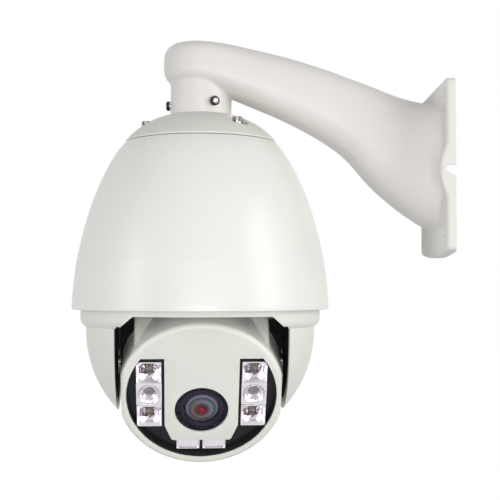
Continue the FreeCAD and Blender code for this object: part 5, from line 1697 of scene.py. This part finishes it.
# ---- Tilting head ----
@dataclass
class FrontShell:
    """The head's front moulding: round rim, brow, and the stepped plate that carries the lens."""

    shop: Workshop
    face: float = -56.0
    radius: float = 71.3
    half: float = 68.4
    back: float = -18.0
    wall: float = 2.6
    thick: float = 3.0
    rim: float = 4.5
    inner: float = 64.0
    panel: float = -49.1
    brow: float = 38.5
    plate_half: float = 31.5
    neck_half: float = 25.5
    neck_v: float = -29.5
    foot_v: float = -44.8
    corner: float = 3.0
    lens_v: float = -13.9
    lens_hole: float = 23.0
    body: tuple = (60.0, 57.5, -4.0, 4.0)
    lamp_room: tuple = (22.3, -55.8, -34.3)
    bevel: float = 1.1
    # where the corner posts stand: across, up, and the rim their webs reach
    post_at: tuple = (40.0, 47.0, 54.0)
    post_r: float = 4.0
    post_long: float = 16.0

    def plate(self) -> Profile:
        """The lens plate's outline in X and Z, joined to the brow at its top.

        Returns:
            The outline's points.
        """
        a, b, r = self.plate_half, self.neck_half, self.corner
        top = self.radius + 5
        left = [(-a, top), (-a, self.neck_v), (-b, self.foot_v)]
        right = [(-u, v) for u, v in reversed(left)]
        return rounded(left + right, [0, r, r, r, r, 0], 6)

    def openings(self) -> bpy.types.Object:
        """What is cut from the face on both sides of the plate and below it.

        Returns:
            The object to cut with.
        """
        opening = cylinder("opening", self.inner, self.face - 6, self.panel + 0.5, Axis.Y, 160)
        big = self.radius + 8
        deep = (self.face - 8, self.panel + 2)
        brow = prism("brow", rectangle(-big, big, self.brow, big), *deep, Axis.Y)
        plate = prism("plate", self.plate(), *deep, Axis.Y)
        return cut(cut(opening, [brow]), [plate])

    def shoulders(self, name: str, inset: float, y: tuple) -> bpy.types.Object:
        """The square shoulders behind the face: a short length of a round bar that lies across the head.

        Args:
            name: the object's name.
            inset: how far its skin is moved in.
            y: where it starts and ends.

        Returns:
            The object.
        """
        radius, half, middle, corner = self.body
        r, h, k = radius - inset, half - inset, max(0.8, corner - inset)
        bar = lathe(name, rounded([(0, -h), (r, -h), (r, h), (0, h)], [0, k, k, 0], 8), Axis.X, 200)
        return combine(moved(bar, 0, middle, 0), [block("slice", (-90, 90), y, (-90, 90))], "INTERSECT")

    def flats(self, name: str, inset: float, start: float, round_r: float) -> bpy.types.Object:
        """What the drum is kept within: its two flat sides, their front edges rounded.

        Args:
            name: the object's name.
            inset: how far the sides are moved in.
            start: where it starts.
            round_r: the radius of its front edges.

        Returns:
            The object.
        """
        half = self.half - inset
        outline = [(-half, start), (half, start), (half, self.back + 9), (-half, self.back + 9)]
        return prism(name, rounded(outline, [round_r, round_r, 0, 0], 12), -90, 90)

    def build(self) -> None:
        """Builds the shell."""
        f, r, w = self.face, self.radius, self.wall
        corner = rounded([(r - 10, f), (r, f), (r, f + 10)], [0, self.rim, 0], 12)[1:-1]
        shell = lathe("front_shell_moulding", [(0, f), *corner, (r, self.back), (0, self.back)], Axis.Y, 200)
        combine(shell, [self.flats("flats", 0, f, self.rim)], "INTERSECT")
        unite(shell, [self.shoulders("shoulders", 0, (f + self.thick, self.back))])
        inside = cylinder("inside", r - w, self.panel, self.back + 5, Axis.Y, 200)
        combine(inside, [self.flats("flat_room", w, self.panel - 1, 0.1)], "INTERSECT")
        cut(shell, [inside, self.shoulders("shoulder_room", w, (f + self.thick + 4, self.back + 5))])
        cut(shell, [self.openings()])
        eased(shell, self.bevel, 3, 50)
        u, low, high = self.lamp_room
        room = block("room", (-u, u), (f + self.thick, self.panel + 1), (low, high))
        hole_r = self.lens_hole
        hole = moved(cylinder("hole", hole_r, f - 5, self.panel + 3, Axis.Y, 128), 0, 0, self.lens_v)
        cone = [(0, f - 1), (hole_r + 1.0, f - 1), (hole_r - 0.1, f + 0.5), (0, f + 0.5)]
        flare = lathe("flare", cone, Axis.Y, 128)
        cut(shell, [room, hole, moved(flare, 0, 0, self.lens_v)])
        posts, (post_u, post_v, rim_v) = [], self.post_at
        deep = (self.back - self.post_long, self.back)
        for sx in (-1, 1):
            for sz in (-1, 1):
                post = cylinder("post", self.post_r, *deep, Axis.Y, 32)
                posts.append(moved(post, sx * post_u, 0, sz * post_v))
                low, high = sorted((sz * post_v, sz * rim_v))
                posts.append(moved(block("web", (-2, 2), deep, (low, high)), sx * post_u, 0, 0))
        shell = gather("front_shell_moulding", [smooth(shell, 34), smooth(gather("post_set", posts), 34)])
        self.shop.fit(shell, Drawn.HEAD, Body.HEAD, "shell_white", "front_shell")


@dataclass
class LampBank:
    """The lamps round the lens: faceted cups, round lenses on bright squares, tiles, die caps and dies."""

    shop: Workshop
    side_u: float = 44.7
    pitch: float = 21.9
    mid_v: float = 0.8
    front: float = -53.5
    back: float = -39.0
    half: float = 10.8
    mouth: float = 9.9
    inside: float = 62.6
    lower: tuple = (11.4, -47.2, -52.6)
    lower_half: float = 10.2
    emitter_half: tuple = (2.5, 1.5)

    @staticmethod
    def ring(half: float, corner: float, depth: float, turn: float = 0.0) -> list[tuple]:
        """Eight points round a square with cut corners, for one level of a faceted cup.

        Args:
            half: half the square's width.
            corner: how far each cut corner point lies from the square's middle line.
            depth: how deep the level lies.
            turn: how far the level is turned, in degrees.

        Returns:
            The points, in X, Y, Z.
        """
        flat = [(half, -corner), (half, corner), (corner, half), (-corner, half),
                (-half, corner), (-half, -corner), (-corner, -half), (corner, -half)]
        c, s = math.cos(math.radians(turn)), math.sin(math.radians(turn))
        return [(x * c - z * s, depth, x * s + z * c) for x, z in flat]

    def cup(self, name: str, u: float, v: float) -> bpy.types.Object:
        """One faceted lamp cup.

        Args:
            name: the object's name.
            u: the lamp's place across the head.
            v: its place up the head.

        Returns:
            The object.
        """
        f, h, m, back = self.front, self.half, self.mouth, self.back
        # half width, corner, depth and turn of each level, from the back round the rim and down the well
        levels = [(h, h - 0.01, back), (h, h - 0.01, f + 0.3), (h - 0.3, h - 0.31, f), (m, m - 0.01, f)]
        levels += [(8.3, 5.2, f + 2.4), (7.3, 3.0, f + 4.6), (5.7, 2.4, f + 8.2, 22.5)]
        levels += [(3.0, 2.99, f + 13.0), (3.0, 2.99, back)]
        rings = [self.ring(*level) for level in levels]
        skin = loft(name, rings, False, False)
        low, high = 0, (len(rings) - 1) * 8
        faces = [tuple(p.vertices) for p in skin.data.polygons]
        faces += [(low + k, low + (k + 1) % 8, high + (k + 1) % 8, high + k) for k in range(8)]
        verts = [tuple(v_.co) for v_ in skin.data.vertices]
        bpy.data.objects.remove(skin)
        piece = new_piece(name, verts, faces)
        mend_normals(piece)
        return moved(piece, u, 0, v)

    def lens_body(self, name: str, front: float) -> bpy.types.Object:
        """The bright square round a round lamp's lens, with a shallow dish down to its dark well.

        Args:
            name: the object's name.
            front: where its front lies.

        Returns:
            The object.
        """
        h = self.half
        body = prism(name, rectangle(-h, h, -h, h, 0.6), front + 0.9, self.back, Axis.Y)
        steps = [(0, 0.4), (h - 1.2, 0.4), (h - 1.5, 1.3), (h - 2.4, 1.9), (6.4, 3.2), (4.6, 4.6), (3.4, 7.0)]
        dish = [(r, front + down) for r, down in steps] + [(3.2, self.back + 1), (0, self.back + 1)]
        return smooth(cut(body, [lathe("dish", dish, Axis.Y, 96)]), 50)

    def dome(self, name: str, front: float) -> bpy.types.Object:
        """A round lamp's clear lens: a domed front over a thick rim.

        Args:
            name: the object's name.
            front: where its front lies.

        Returns:
            The object.
        """
        r, rise = self.half - 1.4, 2.2
        ball = (r * r + rise * rise) / (2 * rise)
        outline = [*bowed(r, ball, front, 14), (r, front + 3.0), (0, front + 3.0)]
        return smooth(lathe(name, outline, Axis.Y, 64), 40)

    def tile(self, name: str, front: float) -> bpy.types.Object:
        """A lower lamp: a square body whose face swells gently inside a narrow border.

        Args:
            name: the object's name.
            front: where its front lies.

        Returns:
            The object.
        """
        h = self.lower_half
        levels = [(h, h - 0.3, self.back), (h, h - 0.3, front + 0.9), (h - 0.3, h - 0.6, front + 0.6)]
        levels += [(h - 1.1, h - 1.5, front + 0.6), (h - 1.5, h - 2.0, front + 1.2)]
        for k in (0.85, 0.65, 0.4, 0.1):
            levels.append(((h - 1.5) * k, (h - 2.0) * k, front + 1.2 - 1.1 * (1 - k * k)))
        return smooth(loft(name, [self.ring(*level) for level in levels]), 30)

    def trimmed(self, piece: bpy.types.Object) -> bpy.types.Object:
        """The piece kept inside the shell's rim."""
        return combine(piece, [cylinder("inside", self.inside, -70, -30, Axis.Y, 160)], "INTERSECT")

    def emitter(self, u: float, v: float) -> bpy.types.Object:
        """A lamp's square emitter with its raised die.

        Args:
            u: the lamp's place across the head.
            v: its place up the head.

        Returns:
            The object.
        """
        (a, b), back = self.emitter_half, self.back
        base = prism("emitter", rectangle(-a, a, -a, a, 0.4), back - 1.0, back, Axis.Y)
        die = prism("die", rectangle(-b, b, -b, b, 0.3), back - 1.4, back - 0.8, Axis.Y)
        return moved(gather("emitter", [base, die]), u, 0, v)

    def die_cap(self, u: float, v: float) -> bpy.types.Object:
        """The smoked cap that stands over a faceted lamp's emitter.

        Args:
            u: the lamp's place across the head.
            v: its place up the head.

        Returns:
            The object.
        """
        f, foot = self.front, self.back - 1.2
        outline = [(0, f + 7.0), (1.0, f + 7.2), (1.6, f + 7.9), (1.8, f + 9.5), (1.9, foot), (0, foot)]
        return moved(smooth(lathe("die_cap", outline, Axis.Y, 24), 40), u, 0, v)

    def build(self) -> None:
        """Builds all the lamps."""
        cups, bodies, domes, tiles = [], [], [], []
        for s in (-1, 1):
            u = s * self.side_u
            for row in (-1, 1):
                cups.append(self.trimmed(self.cup("cup", u, self.mid_v + row * self.pitch)))
            bodies.append(moved(self.lens_body("body", self.front), u, 0, self.mid_v))
            domes.append(moved(self.dome("dome", self.front + 0.3), u, 0, self.mid_v))
            lu, lv, lf = s * self.lower[0], self.lower[1], self.lower[2]
            tiles.append(moved(self.tile("tile", lf), lu, 0, lv))
        head = (Drawn.HEAD, Body.HEAD)
        self.shop.fit(gather("faceted_cup_set", cups), *head, "lamp_chrome", "faceted_lamps")
        self.shop.fit(gather("round_lamp_body_set", bodies), *head, "lamp_chrome", "round_lamps")
        self.shop.fit(gather("round_lamp_lens_set", domes), *head, "lamp_clear")
        self.shop.fit(gather("lower_lamp_set", tiles), *head, "lamp_chrome", "lower_lamps")
        side, rows = self.side_u, [self.mid_v + row * self.pitch for row in (-1, 0, 1)]
        caps = [self.die_cap(s * side, v) for s in (-1, 1) for v in (rows[0], rows[2])]
        self.shop.fit(gather("die_cap_set", caps), *head, "die_cap")
        spots = [(s * side, v) for s in (-1, 1) for v in rows]
        spots += [(s * self.lower[0], self.lower[1]) for s in (-1, 1)]
        dies = gather("emitter_set", [self.emitter(u, v) for u, v in spots])
        self.shop.fit(dies, *head, "emitter", "lamp_emitters")


@dataclass
class LensFront:
    """The window ring, the stepped baffle behind the glass and the coated front lens."""

    shop: Workshop
    v: float = -13.9
    face: float = -56.0
    hole: float = 22.9
    window: float = 21.3
    inset: float = 1.8
    barrel: float = -50.5
    lens_front: float = -52.4
    lens_r: float = 15.6
    ball: float = 40.0
    edge: float = 1.5
    # the centre of the lens's painted reflections, a little off its middle
    heart: tuple = (0.4, -1.8)
    # radius, and depth from the barrel's mouth, of the steps and of the ring round the lens
    steps: tuple = (
        (21.1, -1.9), (20.6, -1.9), (20.6, -1.1), (20.0, -1.1), (20.0, -0.5), (19.3, -0.5),
        (19.3, 1.0), (21.1, 1.0),
    )
    bezel: tuple = ((18.9, -1.5), (18.2, -1.8), (16.2, -1.6), (15.7, -0.6), (15.7, 1.0), (18.9, 1.0))

    def ring(self) -> None:
        """The dark ring that holds the cover glass."""
        f, r = self.face + self.inset, self.window
        points = [(self.hole, f + 0.2), (r + 0.3, f), (r, f + 0.6), (r, f + 1.5), (self.hole, f + 1.5)]
        outline = rounded(points, [0.2, 0.3, 0.2, 0, 0], 3)
        piece = moved(smooth(lathe("window_ring_trim", outline, Axis.Y, 128), 30), 0, 0, self.v)
        self.shop.fit(piece, Drawn.HEAD, Body.HEAD, "bezel_violet", "window_ring")

    def baffle(self) -> None:
        """Steps that lead down from the window to the barrel's mouth."""
        y = self.barrel
        rings = []
        for name, rows in (("baffle", self.steps), ("bezel", self.bezel)):
            rings.append(lathe(name, [(r, y + depth) for r, depth in rows], Axis.Y, 128))
        piece = moved(smooth(gather("lens_baffle_set", rings), 26), 0, 0, self.v)
        self.shop.fit(piece, Drawn.HEAD, Body.HEAD, "bezel_violet")

    def lens(self) -> None:
        """The front lens, its points marked with how far out and how far round they lie from the centre of
        its painted reflections.
        """
        r = self.lens_r
        arc = bowed(r, self.ball, self.lens_front, 24)
        back = arc[-1][1] + self.edge
        piece = lathe("front_lens_element", [*arc, (r, back), (0, back)], Axis.Y, 96)
        reach = piece.data.attributes.new("reach", "FLOAT", "POINT")
        swing = piece.data.attributes.new("swing", "FLOAT", "POINT")
        spots = [v.co for v in piece.data.vertices]
        u, v = self.heart
        reach.data.foreach_set("value", [min(1.0, math.hypot(p.x - u, p.z - v) / r) for p in spots])
        # The side towards which the cooler painted reflections lean
        turns = [math.atan2(p.z - v, p.x - u) - 0.6 for p in spots]
        swing.data.foreach_set("value", [(0.5 + 0.5 * math.cos(turn)) ** 1.5 for turn in turns])
        moved(smooth(piece, 40), 0, 0, self.v)
        self.shop.fit(piece, Drawn.HEAD, Body.HEAD, "lens_glass", "front_lens")

    def build(self) -> None:
        """Builds the ring, the baffle and the lens."""
        self.ring()
        self.baffle()
        self.lens()


# ---- Studio ----
@dataclass(frozen=True)
class SoftBox:
    """A soft rectangular lamp: where it stands, its width and height, its watts and its tint."""

    name: str
    at: tuple
    size: tuple
    power: float
    tint: tuple

    def light(self, towards: tuple) -> None:
        """Puts the lamp in the scene.

        Args:
            towards: the point it faces.
        """
        data = bpy.data.lights.new(self.name, "AREA")
        data.shape, data.size, data.size_y = "RECTANGLE", *self.size
        data.energy, data.color = self.power, self.tint
        lamp = bpy.data.objects.new(self.name, data)
        lamp.location = self.at
        lamp.rotation_euler = (Vector(towards) - Vector(self.at)).to_track_quat("-Z", "Y").to_euler()
        bpy.context.scene.collection.objects.link(lamp)


@dataclass
class Studio:
    """Camera, lamps, floor and the white surround."""

    camera_at: tuple = (-0.1732, -0.912, -0.1012)
    lens: float = 72.86
    pitch: float = 91.98
    sensor: float = 36.0
    clip: tuple = (0.05, 50.0)
    middle: tuple = (-0.17, 0, -0.1)
    # a tall soft box on each side, the right one stronger, and a low front light
    boxes: tuple = (
        SoftBox("key_light", (1.04, -0.70, 0.22), (0.5, 1.1), 9.8, (1.0, 0.995, 0.98)),
        SoftBox("fill_light", (-1.34, -0.76, -0.06), (0.4, 1.1), 6.4, (0.98, 0.99, 1.0)),
        SoftBox("front_light", (-0.1, -1.5, -0.3), (0.9, 0.6), 11.0, (1.0, 1.0, 1.0)),
    )
    ambient: float = 0.32
    floor_z: float = -0.42
    floor_half: float = 4.0
    floor_grey: float = 0.5
    floor_glow: float = 1.22
    glow_share: float = 0.8

    def camera(self) -> None:
        """The camera: a long lens level with the bell's lower edge, looking along the wall."""
        data = bpy.data.cameras.new("studio_camera")
        data.lens, data.sensor_width = self.lens, self.sensor
        data.clip_start, data.clip_end = self.clip
        camera = bpy.data.objects.new("studio_camera", data)
        camera.location = self.camera_at
        camera.rotation_euler = (math.radians(self.pitch), 0, 0)
        bpy.context.scene.collection.objects.link(camera)
        bpy.context.scene.camera = camera

    @staticmethod
    def seen(bench: Bench) -> bpy.types.NodeSocket:
        """One for a ray of the camera, through glass or off a gloss, nothing for any other.

        Args:
            bench: the node tree that asks.

        Returns:
            The socket with the answer.
        """
        path = bench.add("ShaderNodeLightPath")
        seen = bench.sum("MAXIMUM", path.outputs["Is Camera Ray"], path.outputs["Is Transmission Ray"])
        return bench.sum("MAXIMUM", seen, path.outputs["Is Glossy Ray"])

    def surround(self) -> None:
        """White to the eye and in reflections, a plain grey light otherwise."""
        world = bpy.data.worlds.new("studio_surround")
        world.use_nodes = True
        bpy.context.scene.world = world
        bench = Bench(world.node_tree)
        world.node_tree.nodes.clear()
        output = bench.add("ShaderNodeOutputWorld")
        back = bench.add("ShaderNodeBackground")
        back.inputs["Color"].default_value = (1, 1, 1, 1)
        level = bench.add("ShaderNodeMapRange")
        level.inputs["To Min"].default_value = self.ambient
        level.inputs["To Max"].default_value = 1.0
        bench.join(self.seen(bench), level.inputs["Value"])
        bench.join(level.outputs["Result"], back.inputs["Strength"])
        bench.join(back.outputs["Background"], output.inputs["Surface"])

    def floor(self) -> None:
        """A white floor that keeps the object's soft shadow."""
        h, grey = self.floor_half, self.floor_grey
        floor = new_piece("studio_floor", [(-h, -h, 0), (h, -h, 0), (h, h, 0), (-h, h, 0)], [(0, 1, 2, 3)])
        floor.location.z = self.floor_z
        material = bpy.data.materials.new("studio_floor_white")
        material.use_nodes = True
        material.node_tree.nodes.clear()
        bench = Bench(material.node_tree)
        output = bench.add("ShaderNodeOutputMaterial")
        matte = bench.add("ShaderNodeBsdfDiffuse")
        matte.inputs["Color"].default_value = (grey, grey, grey, 1)
        glow = bench.add("ShaderNodeEmission")
        glow.inputs["Strength"].default_value = self.floor_glow
        mix = bench.add("ShaderNodeMixShader")
        bench.join(bench.sum("MULTIPLY", self.seen(bench), self.glow_share), mix.inputs["Fac"])
        bench.join(matte.outputs["BSDF"], mix.inputs[1])
        bench.join(glow.outputs["Emission"], mix.inputs[2])
        bench.join(mix.outputs["Shader"], output.inputs["Surface"])
        floor.data.materials.append(material)
        floor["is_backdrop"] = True

    def build(self) -> None:
        """Sets up the camera, lamps, surround and floor."""
        bpy.context.scene.view_settings.view_transform = "Standard"
        self.camera()
        for box in self.boxes:
            box.light(self.middle)
        self.surround()
        self.floor()


def corners() -> list[list[float]]:
    """The model's lowest and highest corners as plain lists."""
    return [[float(value) for value in corner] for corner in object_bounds()]


def main() -> None:
    """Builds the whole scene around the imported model."""
    logging.basicConfig(level=logging.INFO, format="%(message)s")
    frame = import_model()
    record = frame["record"]
    finishes = Finishes(Effects())
    finishes.dress_frame(frame["nodes"], {s["node"]: s["material_slot"] for s in record["subparts"]})
    shop = Workshop(Places(frame["joints"]), finishes)
    CastBracket(shop, -joint_named(frame["joints"], "pan")["pos_m"][0] / MM, record["mounts"]).build()
    Dome(shop).build()
    PanFork(shop).build()
    FrontShell(shop).build()
    LampBank(shop).build()
    LensFront(shop).build()
    Studio().build()


if __name__ == "__main__":
    main()
